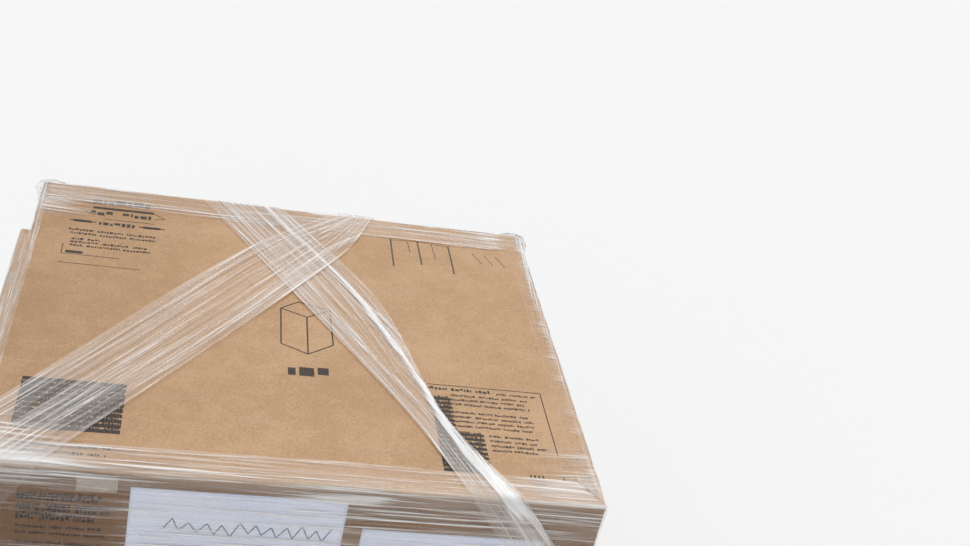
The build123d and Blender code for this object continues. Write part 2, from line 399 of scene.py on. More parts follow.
@dataclass(frozen=True)
class PalletTimber:
    """Rough sawn softwood with growth rings, knots and grey weathering.

    The mesh gives the grain attribute: metres along the grain, and across and above the
    heart of the tree, so that the rings run on over the ends. The stain attribute darkens
    worn ends and edges.
    """

    name: str = "pallet_timber"
    fresh: Triple = (0.570, 0.410, 0.245)  # colour of the pale wood
    late: Triple = (0.330, 0.190, 0.085)  # colour of the ring lines
    grey: Triple = (0.345, 0.300, 0.245)  # colour of the weathered surface
    knot: Triple = (0.130, 0.065, 0.030)  # colour of the knots
    dirt: Triple = (0.165, 0.120, 0.085)  # colour of worn ends and edges
    ring: float = 0.0052  # distance between rings

    def rings(self, recipe: Recipe, grain: Socket) -> Socket:
        """Give the strength of the ring lines.

        Args:
            recipe: The material being wired.
            grain: Metres along the grain, and across and above the heart.

        Returns:
            The strength from 0 to 1.
        """
        split = recipe.node("ShaderNodeSeparateXYZ", {"Vector": grain})
        across, above = split.outputs["Y"], split.outputs["Z"]
        squares = recipe.plus(recipe.times(across, across), recipe.times(above, above))
        bend = recipe.noise(recipe.scaled(grain, (2.0, 7.0, 7.0)), 1.0, 3.0, 0.5)
        radius = recipe.plus(recipe.math("SQRT", squares), recipe.times(bend, 0.075))
        turns = recipe.math("FRACT", recipe.math("DIVIDE", radius, self.ring))
        rise = recipe.remap(turns, 0.35, 0.90)
        return recipe.times(rise, recipe.remap(turns, 0.90, 1.0, 1.0, 0.0))

    def material(self) -> Material:
        """Make the timber's material.

        Returns:
            The new material.
        """
        recipe = Recipe(self.name)
        grain = recipe.attribute("grain")
        stain = recipe.attribute("stain", "Fac")
        rings = self.rings(recipe, grain)
        hairs = recipe.noise(recipe.scaled(grain, (14.0, 760.0, 760.0)), 1.0, 3.0, 0.65)
        marks = recipe.noise(recipe.scaled(grain, (480.0, 12.0, 12.0)), 1.0, 2.0, 0.5)
        cloud = recipe.noise(grain, 9.0, 4.0, 0.6)
        cells = recipe.node("ShaderNodeTexVoronoi", {
            "Vector": recipe.scaled(grain, (1.9, 6.5, 1.0)), "Scale": 1.0}).outputs["Distance"]
        heart = recipe.remap(cells, 0.045, 0.075, 1.0, 0.0)
        halo = recipe.remap(cells, 0.05, 0.16, 0.6, 0.0)
        colour = recipe.blend(recipe.times(rings, 0.75), self.fresh, self.late)
        colour = recipe.blend(recipe.remap(hairs, 0.48, 0.72, 0.0, 0.6), colour, self.late)
        colour = recipe.blend(recipe.remap(cloud, 0.40, 0.68, 0.05, 0.70), colour, self.grey)
        colour = recipe.blend(halo, colour, self.late)
        colour = recipe.blend(heart, colour, self.knot)
        worn = recipe.times(stain, recipe.remap(cloud, 0.3, 0.6, 0.35, 1.0))
        colour = recipe.blend(worn, colour, self.dirt)
        normal = recipe.bump(marks, 0.0005, 0.8)
        normal = recipe.bump(hairs, 0.0007, 0.9, normal)
        normal = recipe.bump(rings, 0.0004, 0.8, normal)
        rough = recipe.remap(hairs, 0.3, 0.7, 0.75, 0.92)
        return recipe.finish({"Base Color": colour, "Roughness": rough, "Normal": normal,
                              "Specular IOR Level": 0.25})


@dataclass(frozen=True)
class StretchFilm:
    """Clear stretched film: milky where it is thin, white where it gathers in strands.

    The mesh gives two attributes: film holds metres along and across the pull and a
    random shift, and cover says how much film lies at a point. Above a cover of 1 the
    film turns white of itself, as it does in a fold.
    """

    name: str
    milk: float = 0.17  # opacity of one flat layer
    strand: float = 0.72  # opacity that the fine strands add
    bold: float = 0.90  # opacity that the sparse bold strands add
    pitch: float = 0.0046  # typical distance between fine strands, in metres
    reach: float = 0.20  # typical length of a strand, in metres
    slant: float = 0.028  # sideways run of the crossing strands for each metre
    relief: float = 0.9  # how strongly the strands stand up
    tint: Triple = (0.94, 0.885, 0.825)
    white: Triple = (0.95, 0.94, 0.93)  # colour of its strands and folds
    thickest: float = 0.96  # most that the film hides what lies below

    def strands(self, recipe: Recipe, slant: float, pitch: float, reach: float, low: float,
                high: float) -> Socket:
        """Give one set of parallel strands.

        Args:
            recipe: The material being wired.
            slant: Sideways run for each metre along.
            pitch: Distance between strands.
            reach: Length of a strand.
            low: Noise value at which a strand starts.
            high: Noise value at which it is full.

        Returns:
            The strength of the strands from 0 to 1.
        """
        film = recipe.attribute("film")
        split = recipe.node("ShaderNodeSeparateXYZ", {"Vector": film})
        along, across, shift = (split.outputs[axis] for axis in "XYZ")
        leaned = recipe.plus(across, recipe.times(along, slant))
        vector = recipe.node("ShaderNodeCombineXYZ", {
            "X": recipe.math("DIVIDE", along, reach), "Y": recipe.math("DIVIDE", leaned, pitch),
            "Z": shift}).outputs["Vector"]
        return recipe.remap(recipe.noise(vector, 1.0, 2.5, 0.55, 0.15), low, high)

    def material(self) -> Material:
        """Make the film's material.

        Returns:
            The new material.
        """
        recipe = Recipe(self.name)
        cover = recipe.attribute("cover", "Fac")
        slant, pitch, reach = self.slant, self.pitch, self.reach
        fine = self.strands(recipe, 0.0, pitch, reach, 0.51, 0.64)
        crossing = self.strands(recipe, slant, pitch * 1.4, reach * 1.6, 0.55, 0.66)
        bold = self.strands(recipe, -slant * 0.3, pitch * 1.6, reach * 2.2, 0.56, 0.64)
        bold = recipe.times(bold, recipe.line(fine, 0.72, 0.34))
        broad = self.strands(recipe, -slant * 0.6, pitch * 8.0, reach * 3.0, 0.36, 0.66)
        hair = self.strands(recipe, slant * 0.7, pitch * 0.34, reach * 0.7, 0.38, 0.62)
        thin = recipe.most(fine, recipe.times(crossing, 0.8))
        thin = recipe.times(thin, recipe.line(broad, 0.7, 0.3))
        veil = recipe.times(recipe.line(broad, 0.9, 0.5), self.milk)
        solid = recipe.plus(veil, recipe.times(thin, self.strand))
        solid = recipe.most(solid, recipe.times(bold, self.bold))
        solid = recipe.times(solid, recipe.line(hair, 0.56, 0.70))
        solid = recipe.times(solid, recipe.math("MINIMUM", cover, 1.3))
        folds = recipe.remap(cover, 1.3, 2.9)
        folded = recipe.times(folds, recipe.line(fine, 0.36, 0.54))
        alpha = recipe.math("ADD", solid, folded, clamp=True)
        alpha = recipe.math("MINIMUM", alpha, self.thickest)
        normal = recipe.bump(thin, 0.0006, self.relief)
        normal = recipe.bump(bold, 0.0008, self.relief, normal)
        normal = recipe.bump(broad, 0.0014, self.relief * 0.7, normal)
        rough = recipe.remap(thin, 0.0, 1.0, 0.18, 0.40)
        whitened = recipe.times(recipe.most(bold, recipe.times(thin, 0.8)), 0.85)
        colour = recipe.blend(recipe.most(folds, whitened), self.tint, self.white)
        return recipe.finish({"Base Color": colour, "Roughness": rough, "Normal": normal,
                              "Alpha": alpha, "Specular IOR Level": 0.6})


@dataclass(frozen=True)
class ClearTape:
    """Glossy clear tape with trapped air along its length."""

    name: str = "clear_tape"
    tint: Triple = (0.76, 0.66, 0.55)
    cover: float = 0.38  # opacity where no air is trapped

    def material(self) -> Material:
        """Make the tape's material.

        Returns:
            The new material.
        """
        recipe = Recipe(self.name)
        place = recipe.place()
        air = recipe.noise(recipe.scaled(place, (30.0, 140.0, 140.0)), 1.0, 3.0, 0.6, 0.5)
        fine = recipe.noise(place, 300.0, 2.0, 0.5)
        alpha = recipe.line(recipe.remap(air, 0.55, 0.70), 0.3, self.cover)
        rough = recipe.remap(fine, 0.3, 0.7, 0.12, 0.3)
        return recipe.finish({"Base Color": self.tint, "Roughness": rough, "Alpha": alpha,
                              "Normal": recipe.bump(air, 0.0003, 0.6), "Specular IOR Level": 0.6})


@dataclass(frozen=True)
class SheetPaper:
    """Office paper, a little creased under the film."""

    name: str = "sheet_paper"
    tint: Triple = (0.75, 0.81, 0.98)
    pale: Triple = (0.81, 0.85, 0.98)  # colour of its paler clouds

    def material(self) -> Material:
        """Make the paper's material.

        Returns:
            The new material.
        """
        recipe = Recipe(self.name)
        place = recipe.place()
        cloud = recipe.noise(place, 14.0, 3.0, 0.5)
        fibre = recipe.noise(place, 900.0, 2.0, 0.6)
        colour = recipe.blend(recipe.remap(cloud, 0.35, 0.65), self.tint, self.pale)
        normal = recipe.bump(cloud, 0.0015, 0.5, recipe.bump(fibre, 0.00004, 0.6))
        rough = recipe.remap(fibre, 0.3, 0.7, 0.7, 0.85)
        return recipe.finish({"Base Color": colour, "Roughness": rough, "Normal": normal,
                              "Specular IOR Level": 0.3})


@dataclass(frozen=True)
class PrintInk:
    """Dark flexographic ink that lets specks of board through."""

    name: str = "print_ink"
    tint: Triple = (0.050, 0.044, 0.042)
    cover: float = 0.86  # opacity where it lies thickest

    def material(self) -> Material:
        """Make the ink's material.

        Returns:
            The new material.
        """
        recipe = Recipe(self.name)
        place = recipe.place()
        speck = recipe.noise(place, 1100.0, 2.0, 0.6)
        blotch = recipe.noise(place, 160.0, 3.0, 0.6)
        worn = recipe.times(recipe.remap(speck, 0.30, 0.46, 0.35, 1.0),
                            recipe.remap(blotch, 0.28, 0.42, 0.6, 1.0))
        rough = recipe.remap(speck, 0.3, 0.7, 0.6, 0.8)
        return recipe.finish({"Base Color": self.tint, "Roughness": rough,
                              "Alpha": recipe.times(worn, self.cover), "Specular IOR Level": 0.25})


@dataclass(frozen=True)
class NailSteel:
    """Dull nail heads with a trace of rust."""

    name: str = "nail_steel"
    steel: Triple = (0.30, 0.29, 0.28)  # colour of the bare metal
    rust: Triple = (0.20, 0.10, 0.05)

    def material(self) -> Material:
        """Make the nails' material.

        Returns:
            The new material.
        """
        recipe = Recipe(self.name)
        spots = recipe.noise(recipe.place(), 700.0, 3.0, 0.6)
        colour = recipe.blend(recipe.remap(spots, 0.4, 0.65), self.steel, self.rust)
        return recipe.finish({"Base Color": colour, "Metallic": 0.8,
                              "Roughness": recipe.remap(spots, 0.3, 0.7, 0.4, 0.7)})


@dataclass(frozen=True)
class StudioFloor:
    """Plain pale floor."""

    name: str = "studio_floor"
    tint: Triple = (0.96, 0.955, 0.95)

    def material(self) -> Material:
        """Make the floor's material."""
        return Recipe(self.name).finish({"Base Color": self.tint, "Roughness": 0.9,
                                         "Specular IOR Level": 0.1})


# Mesh building

def show(name: str, points: Array, faces: Iterable[Sequence[int]],
         material: Material, values: Optional[dict[str, Array]] = None,
         replaces: Sequence[str] = ()) -> None:
    """Make a smooth mesh piece that rides on the load.

    Args:
        name: Name of the piece.
        points: Vertex places, one row each.
        faces: Corner numbers of each face.
        material: Finish of the piece.
        values: Named numbers or vectors for each vertex.
        replaces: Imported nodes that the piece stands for.
    """
    mesh = bpy.data.meshes.new(name)
    mesh.from_pydata(points.reshape(-1, 3).tolist(), [], [tuple(face) for face in faces])
    mesh.polygons.foreach_set("use_smooth", [True] * len(mesh.polygons))
    for label, numbers in (values or {}).items():
        flat = np.asarray(numbers, dtype=np.float32)
        vector = flat.shape[-1] == 3 and flat.ndim > 1 and flat.size == 3 * len(mesh.vertices)
        layer = mesh.attributes.new(label, "FLOAT_VECTOR" if vector else "FLOAT", "POINT")
        layer.data.foreach_set("vector" if vector else "value", flat.reshape(-1))
    mesh.update()
    piece = bpy.data.objects.new(name, mesh)
    bpy.context.scene.collection.objects.link(piece)
    mesh.materials.append(material)
    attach(piece, BODY)
    if replaces:
        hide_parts(*replaces)
    LOG.info("%s: %d vertices, %d faces", name, len(mesh.vertices), len(mesh.polygons))


def grid_faces(rows: int, columns: int, first: int = 0) -> list[tuple[int, int, int, int]]:
    """List the quads of a grid of vertices.

    Args:
        rows: Number of vertex rows.
        columns: Number of vertices in a row.
        first: Number of the first vertex.

    Returns:
        The four corners of each quad.
    """
    faces = []
    for row in range(rows - 1):
        start = first + row * columns
        for column in range(columns - 1):
            corner = start + column
            faces.append((corner, corner + 1, corner + columns + 1, corner + columns))
    return faces


def show_film(name: str, places: Array, along: Array, across: Array,
              cover: Array, material: Material, seed: int,
              node: str = "film_wrap") -> None:
    """Make a sheet of film from a grid of vertices.

    Args:
        name: Name of the piece.
        places: Vertex places.
        along: Metres along the pull at each vertex, rows by columns.
        across: Metres across the pull.
        cover: How much film lies there.
        material: The film's material.
        seed: Shift of its strands.
        node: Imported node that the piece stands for.
    """
    film = np.stack([along, across, np.full(along.shape, float(seed))], axis=-1)
    show(name, places, grid_faces(*along.shape), material,
         {"film": film.reshape(-1, 3), "cover": cover.ravel()}, [node])


def box_grid(lines: Sequence[Array]) -> tuple[Array, list[list[int]]]:
    """Cover a box with welded quads that face outwards.

    Args:
        lines: Grid lines along X, Y and Z.

    Returns:
        The vertex places and the quads.
    """
    sheets, quads, count = [], [], 0
    for axis in range(3):
        first, second = (axis + 1) % 3, (axis + 2) % 3
        for side, level in ((0, lines[axis][0]), (1, lines[axis][-1])):
            u, v = np.meshgrid(lines[first], lines[second], indexing="ij")
            sheet = np.empty((u.size, 3))
            sheet[:, first] = u.ravel()
            sheet[:, second] = v.ravel()
            sheet[:, axis] = level
            for quad in grid_faces(len(lines[first]), len(lines[second]), count):
                quads.append(quad[::-1] if side else quad)
            sheets.append(sheet)
            count += u.size
    points, index = np.unique(np.round(np.vstack(sheets), 6), axis=0, return_inverse=True)
    return points, index.ravel()[np.array(quads)].tolist()


class Face(Enum):
    """The faces of a box, as the axis they face and their side."""

    LEFT = (0, 0)
    RIGHT = (0, 1)
    FRONT = (1, 0)
    BACK = (1, 1)
    BOTTOM = (2, 0)
    TOP = (2, 1)


class FlapSide(Enum):
    """Where a carton's flaps close."""

    TOP_AND_BOTTOM = 2
    FRONT_AND_BACK = 1


@dataclass
class BoardSkin:
    """The outside of a carton: rounded folds, a slight sag and small dents."""

    x: Span
    y: Span
    z: Span
    seed: int
    radius: float = 0.006  # radius of the folds
    sag: float = 0.0022  # most that a panel yields
    crush: float = 0.0022  # most that a fold is dented
    reach: float = 0.030  # width of the dents beside a fold

    def spans(self) -> tuple[Span, Span, Span]:
        """Give the limits along the three axes."""
        return self.x, self.y, self.z

    def fold_distance(self, points: Array) -> Array:
        """Give the distance from points of the sharp box to its nearest fold.

        Args:
            points: Places on the sharp box.

        Returns:
            The distances.
        """
        gaps = [np.minimum(np.abs(points[:, axis] - low), np.abs(points[:, axis] - high))
                for axis, (low, high) in enumerate(self.spans())]
        return np.sort(np.array(gaps), axis=0)[1]

    def give(self, points: Array) -> Array:
        """Give the inward move of each point of the sharp box.

        Args:
            points: Places on the sharp box.

        Returns:
            The moves.
        """
        move = np.zeros_like(points)
        fold_distance = self.fold_distance(points)
        beside = ease(fold_distance, self.reach, 0.0)
        for axis, (low, high) in enumerate(self.spans()):
            u, v = (points[:, other] for other in range(3) if other != axis)
            for side, level in ((1.0, low), (-1.0, high)):
                seed = self.seed + 10 * axis + (5 if side < 0 else 0)
                waves = layered_noise(u / 0.17, v / 0.17, seed)
                dents = ease(layered_noise(u / 0.05, v / 0.05, seed + 3, 2), 0.15, 0.75)
                stiff = 0.3 + 0.7 * ease(fold_distance, 0.0, 0.05)
                depth = self.sag * (0.5 + 0.5 * waves) * stiff + self.crush * dents * beside
                near = ease(np.abs(points[:, axis] - level), 2.2 * self.radius, 0.0)
                move[:, axis] += side * near * depth
        return move

    def cling(self, points: Array, lift: Numbers = 0.0,
              yielding: bool = True) -> Array:
        """Move points of the sharp box onto the carton's surface.

        Args:
            points: Places on the sharp box.
            lift: Distance that is kept from the surface.
            yielding: Whether they follow the sag and the dents.

        Returns:
            The places on or above the surface.
        """
        inner = np.column_stack([
            np.clip(points[:, axis], low + self.radius, high - self.radius)
            for axis, (low, high) in enumerate(self.spans())])
        out = points - inner
        length = np.linalg.norm(out, axis=1, keepdims=True)
        reach = self.radius + np.broadcast_to(np.asarray(lift, float).reshape(-1, 1), length.shape)
        settled = inner + out / np.maximum(length, 1e-9) * reach
        return settled + self.give(points) if yielding else settled

    def on_face(self, face: Face, u: Array, v: Array) -> Array:
        """Give points of the sharp box on one face.

        Args:
            face: The face.
            u: Places along the face's first axis.
            v: Places along its second axis.

        Returns:
            The points, one row each.
        """
        axis, side = face.value
        points = np.empty((u.size, 3))
        first, second = (other for other in range(3) if other != axis)
        points[:, first] = u.ravel()
        points[:, second] = v.ravel()
        points[:, axis] = self.spans()[axis][side]
        return points


@dataclass
class Carton:
    """A corrugated carton with flap seams, a glued lap, rubbed folds and painted shade."""

    node: str
    flaps: FlapSide  # where the flaps close
    seed: int
    finish: Material
    spacing: float = 0.009  # size of the mesh cells
    seam_gap: float = 0.0025  # width of the gap between two flaps
    seam_depth: float = 0.0055  # depth of that gap
    lap_width: float = 0.035  # width of the glued lap on the back
    lap_step: float = 0.0012  # height of the step at its edge
    skin: BoardSkin = field(init=False)

    def __post_init__(self) -> None:
        """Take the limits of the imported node."""
        self.skin = BoardSkin(*spans_of(self.node), seed=self.seed)

    def seam_level(self) -> tuple[int, float]:
        """Give the axis across the flap seams and their place on it."""
        across = 1 if self.flaps is FlapSide.TOP_AND_BOTTOM else 2
        return across, sum(self.skin.spans()[across]) / 2

    def lines(self) -> list[Array]:
        """Give the grid lines along X, Y and Z.

        Returns:
            The places of the lines.
        """
        across, level = self.seam_level()
        half = self.seam_gap / 2
        beside_seam = [level + half * share for share in (-1.9, -1.1, -0.7, 0.7, 1.1, 1.9)]
        lap = self.skin.x[1] - self.lap_width
        beside_lap = [lap + self.lap_step * share for share in (-1.0, -0.2, 0.5, 1.2, 2.0)]
        extras = [beside_lap, [], []]
        extras[across] = beside_seam
        return [stations(span, self.spacing, self.skin.radius, extra)
                for span, extra in zip(self.skin.spans(), extras)]

    def grooves(self, points: Array) -> Array:
        """Give the inward move at the seams and the lap.

        Args:
            points: Places on the sharp box.

        Returns:
            The moves.
        """
        move = np.zeros_like(points)
        across, level = self.seam_level()
        axis = self.flaps.value
        low, high = self.skin.spans()[axis]
        in_seam = ease(np.abs(points[:, across] - level), self.seam_gap * 0.85, self.seam_gap * 0.4)
        for side, face in ((1.0, low), (-1.0, high)):
            near = ease(np.abs(points[:, axis] - face), 0.0004, 0.0)
            move[:, axis] += side * near * in_seam * self.seam_depth
        lap = self.skin.x[1] - self.lap_width
        in_lap = ease(np.abs(points[:, 0] - lap - self.lap_step / 2), self.lap_step * 1.6,
                      self.lap_step * 0.5)
        behind = ease(np.abs(points[:, 1] - self.skin.y[1]), 0.0004, 0.0)
        move[:, 1] -= behind * in_lap * self.lap_step
        return move

    def panel_place(self, points: Array) -> Array:
        """Give the place across the flutes at each point of the sharp box.

        Args:
            points: Places on the sharp box.

        Returns:
            The place across the flutes, then Y and Z.
        """
        on_side = np.minimum(np.abs(points[:, 0] - self.skin.x[0]),
                             np.abs(points[:, 0] - self.skin.x[1])) < 1e-6
        upright = points[:, 1] if self.flaps is FlapSide.TOP_AND_BOTTOM else points[:, 2]
        across = np.where(on_side, upright, points[:, 0])
        return np.column_stack([across, points[:, 1], points[:, 2]])

    def build(self) -> None:
        """Make the carton."""
        points, quads = box_grid(self.lines())
        places = self.skin.cling(points) + self.grooves(points)
        patchy = layered_noise(points[:, 0] / 0.06 + points[:, 2] / 0.04, points[:, 1] / 0.06,
                               self.seed + 70)
        rubbed = ease(self.skin.fold_distance(points), 0.010, 0.001) * (0.55 + 0.45 * patchy)
        below_top = ease(self.skin.z[1] - points[:, 2], 0.001, 0.008)
        # Painted shade in the upright attribute: walls darker, more so toward the left, and the top a
        # little darker toward the left
        left_shade_share = ease(points[:, 0], sum(self.skin.x) / 2, self.skin.x[0])
        dull = below_top * (0.80 + 0.20 * left_shade_share) + 0.22 * left_shade_share * (1 - below_top)
        wear = np.clip(rubbed * (1 - 0.7 * below_top), 0, 1)
        show(f"dressed_{self.node}", places, quads, self.finish,
             {"board": self.panel_place(points), "wear": wear, "upright": dull}, [self.node])


@dataclass
class FlapTape:
    """A strip of clear tape along a flap seam, folded down over both ends."""

    node: str
    carton: Carton
    face: Face
    finish: Material
    width: float = 0.0508
    tail: float = 0.064  # length folded over each end
    lift: float = 0.0002  # distance from the board
    cells: int = 8  # mesh cells across the strip
    cell: float = 0.009  # mesh cell along it

    def build(self) -> None:
        """Make the strip."""
        skin = self.carton.skin
        across, level = self.carton.seam_level()
        axis, side = self.face.value
        depth = skin.spans()[axis][side]
        inward = 1.0 if side == 0 else -1.0
        corner = np.array([*TURNS, 1.8]) * skin.radius
        beyond = np.arange(2 * skin.radius, self.tail, self.cell)
        down = np.unique(np.concatenate([corner, beyond, [self.tail]]))
        run = stations(skin.x, self.cell, skin.radius)
        x = np.concatenate([np.full(down.size - 1, skin.x[0]), run, np.full(down.size - 1, skin.x[1])])
        drop = np.concatenate([down[:0:-1], np.zeros(run.size), down[1:]])
        wide = level + np.linspace(-0.5, 0.5, self.cells + 1) * self.width
        points = np.zeros((x.size, wide.size, 3))
        points[:, :, 0] = x[:, None]
        points[:, :, axis] = (depth + inward * drop)[:, None]
        points[:, :, across] = wide[None, :]
        flat = points.reshape(-1, 3)
        show(f"dressed_{self.node}", skin.cling(flat, self.lift),
             grid_faces(x.size, wide.size), self.finish, replaces=[self.node])


@dataclass(frozen=True)
class Stroke:
    """A straight printed or drawn line on one face, in metres from its left lower corner."""

    u: float  # start along the face
    v: float  # start up the face
    du: float  # run along the face
    dv: float  # run up the face
    width: float  # width of the line


def drawn(places: Sequence[Span], width: float) -> list[Stroke]:
    """Join places on a face with straight strokes."""
    return [Stroke(*start, end[0] - start[0], end[1] - start[1], width)
            for start, end in zip(places, places[1:])]


def word_blocks(u: float, v: float, length: float, height: float,
                rng: np.random.Generator) -> list[Stroke]:
    """Lay a line of plain blocks that stands for a line of print.

    Args:
        u: Start of the line.
        v: Middle of the line.
        length: Length of the line.
        height: Height of the blocks.
        rng: Source of the block lengths.

    Returns:
        One stroke for each block.
    """
    strokes = []
    place = u
    while place < u + length:
        end = min(place + height * rng.uniform(2.5, 8.0), u + length)
        while place < end - height * 0.2:
            block = min(height * rng.uniform(0.22, 0.85), end - place)
            tall = height * rng.uniform(0.55, 1.0)
            low = v + (tall - height) / 2 * rng.choice((1.0, 1.0, -0.6))
            strokes.append(Stroke(place, low, block, 0, tall))
            place += block + height * 0.2
        place = end + height * 0.8
    return strokes


@dataclass
class InkMarks:
    """Generic printed and drawn marks on one face of a carton."""

    name: str
    skin: BoardSkin
    face: Face
    strokes: list[Stroke]
    finish: Material
    slot: str = "carton_board"
    lift: float = 0.00022  # distance from the board
    cell: float = 0.012  # largest mesh cell

    def build(self) -> None:
        """Make the marks as one mesh of small flat grids."""
        origin_u, origin_v = (low for axis, (low, _) in enumerate(self.skin.spans())
                              if axis != self.face.value[0])
        sheets, faces, count = [], [], 0
        for stroke in self.strokes:
            length = math.hypot(stroke.du, stroke.dv)
            rows = max(1, math.ceil(length / self.cell)) + 1
            columns = max(1, math.ceil(stroke.width / self.cell)) + 1
            run = np.linspace(0.0, 1.0, rows)[:, None]
            side = np.linspace(-0.5, 0.5, columns)[None, :] * stroke.width
            u = origin_u + stroke.u + stroke.du * run - stroke.dv / length * side
            v = origin_v + stroke.v + stroke.dv * run + stroke.du / length * side
            sheets.append(self.skin.on_face(self.face, u, v))
            faces += grid_faces(rows, columns, count)
            count += u.size
        points = self.skin.cling(np.vstack(sheets), self.lift)
        show(self.name, points, faces, self.finish)


@dataclass
class FrontSheet:
    """A sheet of paper on the front, standing off the board in soft waves."""

    node: str
    skin: BoardSkin
    finish: Material
    seed: int
    slot: str = "paper_sheet"
    lift: float = 0.00022  # distance from the board
    wave: float = 0.00020  # most that it stands off besides
    thickness: float = 0.0001
    cell: float = 0.006

    def build(self) -> None:
        """Make the sheet as a thin closed slab."""
        wide, _, high = spans_of(self.node)
        columns, rows = (max(2, math.ceil((end - start) / self.cell)) + 1 for start, end in (wide, high))
        x, z = np.meshgrid(np.linspace(*wide, columns), np.linspace(*high, rows), indexing="ij")
        base = self.skin.on_face(Face.FRONT, x, z)
        stand = self.lift + self.wave * (0.5 + 0.5 * layered_noise(
            base[:, 0] / 0.07, base[:, 2] / 0.03, self.seed))
        outer = self.skin.cling(base, stand + self.thickness)
        inner = self.skin.cling(base, stand)
        count = x.size
        faces = grid_faces(columns, rows)
        faces += [tuple(index + count for index in quad[::-1]) for quad in faces]
        rim = list(range(rows)) + [column * rows + rows - 1 for column in range(1, columns)]
        rim += [(columns - 1) * rows + row for row in range(rows - 2, -1, -1)]
        rim += [column * rows for column in range(columns - 2, 0, -1)]
        faces += [(near, near + count, far + count, far) for near, far in zip(rim, rim[1:] + rim[:1])]
        show(f"dressed_{self.node}", np.vstack([outer, inner]), faces,
             self.finish, replaces=[self.node])


# Stretch film

@dataclass
class HoodRing:
    """One ring of stretch film: a rim folded over a top edge, the walls and a foot."""

    name: str
    x: Span  # limits of the wrapped block along X
    y: Span  # limits of the wrapped block along Y
    top: float  # level of the top that the rim lies on
    foot: float  # level of the film's lower edge
    front_foot: float  # level of the lower edge at the front
    rims: tuple[float, float, float, float]  # widths of the rim at the left, right, front and back
    finish: Material
    seed: int
    reach: float = 0.0  # how far the foot stands off, except at the front
    flare_height: float = 0.0  # height over which it stands off
    hem: float = 0.0  # width that lies flat outside the foot
    fold: float = 0.006  # radius of the block's edges
    stand: float = 0.0008  # distance from the block
    ripple: float = 0.0008  # height of the folds
    column_step: float = 0.012  # largest distance between vertices round the block
    row_step: float = 0.0045  # largest distance between rows on the walls
    rim_rows: int = 15  # rows on the rim
    arc_rows: int = 9  # rows round the top edge
    ragged: float = 0.16  # share by which the rim's width varies
    front_lift: float = 0.0007  # how much further the film stands off the front below the block

    @property
    def radius(self) -> float:
        """Give the radius at which the film turns over a top edge."""
        return self.fold + self.stand

    @property
    def wall_top(self) -> float:
        """Give the level at which the walls begin."""
        return self.top - self.fold

    @property
    def half_turn(self) -> float:
        """Give the length of film over half of the turn at a top edge."""
        return self.radius * 0.8

    def drop(self, level: Numbers) -> Numbers:
        """Give the distance down the film from the folded edge to a level."""
        return self.half_turn + self.wall_top - level

    def walk(self) -> tuple[Array, Array, Array]:
        """Walk once round the block from its back right corner, front first.

        Returns:
            Places on the wall, outward directions and distance walked.
        """
        (left, right), (front, back), fold = self.x, self.y, self.fold
        centres = [(right - fold, front + fold), (left + fold, front + fold),
                   (left + fold, back - fold), (right - fold, back - fold)]
        places, outward = [], []
        for index, centre in enumerate(centres):
            before = centres[index - 1]
            angle = -math.pi / 2 * index
            normal = np.array([math.cos(angle), math.sin(angle)])
            length = math.dist(before, centre)
            shares = np.linspace(0.0, 1.0, max(2, math.ceil(length / self.column_step)) + 1)[:-1]
            side = np.array(before) + (np.array(centre) - np.array(before)) * shares[:, None]
            places.append(side + normal * fold)
            outward.append(np.tile(normal, (shares.size, 1)))
            turns = angle - np.linspace(0.0, math.pi / 2, 7)[:-1]
            normals = np.column_stack([np.cos(turns), np.sin(turns)])
            places.append(np.array(centre) + normals * fold)
            outward.append(normals)
        places, outward = np.vstack(places), np.vstack(outward)
        places, outward = np.vstack([places, places[:1]]), np.vstack([outward, outward[:1]])
        steps = np.linalg.norm(np.diff(places, axis=0), axis=1)
        return places, outward, np.concatenate([[0.0], np.cumsum(steps)])

    def rim_end(self, shoulder: Array, along: Array) -> Array:
        """Give the ragged inner end of the rim for each column.

        Args:
            shoulder: Where the rim leaves the rounded edge.
            along: Distance walked.

        Returns:
            The ends, one row each.
        """
        left, right, front, back = self.rims
        target = np.column_stack([
            np.clip(shoulder[:, 0], self.x[0] + left, self.x[1] - right),
            np.clip(shoulder[:, 1], self.y[0] + front, self.y[1] - back)])
        jitter = 1 + self.ragged * (layered_noise(along / 0.13, 0.5, self.seed + 40)
                                    + 0.4 * layered_noise(along / 0.03, 3.5, self.seed + 41))
        return shoulder + (target - shoulder) * jitter[:, None]

    def cover(self, places: Array, along: Array, across: Array,
              share: Array) -> Array:
        """Give how much film lies at each point.

        Args:
            places: Vertex places, rows by columns.
            along: Distance walked at each vertex.
            across: Distance down from the folded edge, negative on the rim.
            share: Place on the rim from its inner end at 0 to the edge at 1.

        Returns:
            The cover at each vertex.
        """
        clouds = layered_noise(along / 0.35, across / 0.05, self.seed + 50)
        cover = np.minimum(0.95 + 0.45 * clouds, 1.12)
        edge_line = ease(np.abs(across), 0.0030, 0.0006)
        gain = 1.0 + 0.7 * layered_noise(along / 0.06, 0.0, self.seed + 51)
        cover = cover + edge_line * gain * self.edge_gain(places)
        on_rim = across < 0
        end_line = ease(np.abs(share - 0.05), 0.07, 0.01) * on_rim
        broken = ease(layered_noise(along / 0.12, 7.0, self.seed + 52), -0.3, 0.6)
        cover = cover + 0.7 * end_line * broken
        from_side = np.minimum(np.abs(places[..., 0] - self.x[0]), np.abs(places[..., 0] - self.x[1]))
        sideways = ease(from_side, 0.004, 0.0015)
        on_wall = ease(across, 0.006, 0.020)
        return cover * (1 + on_wall * (0.22 - 0.50 * sideways))

    def edge_gain(self, places: Array) -> Array:
        """Give how bright the line along the folded edge is at each point."""
        return np.ones(places.shape[:-1])

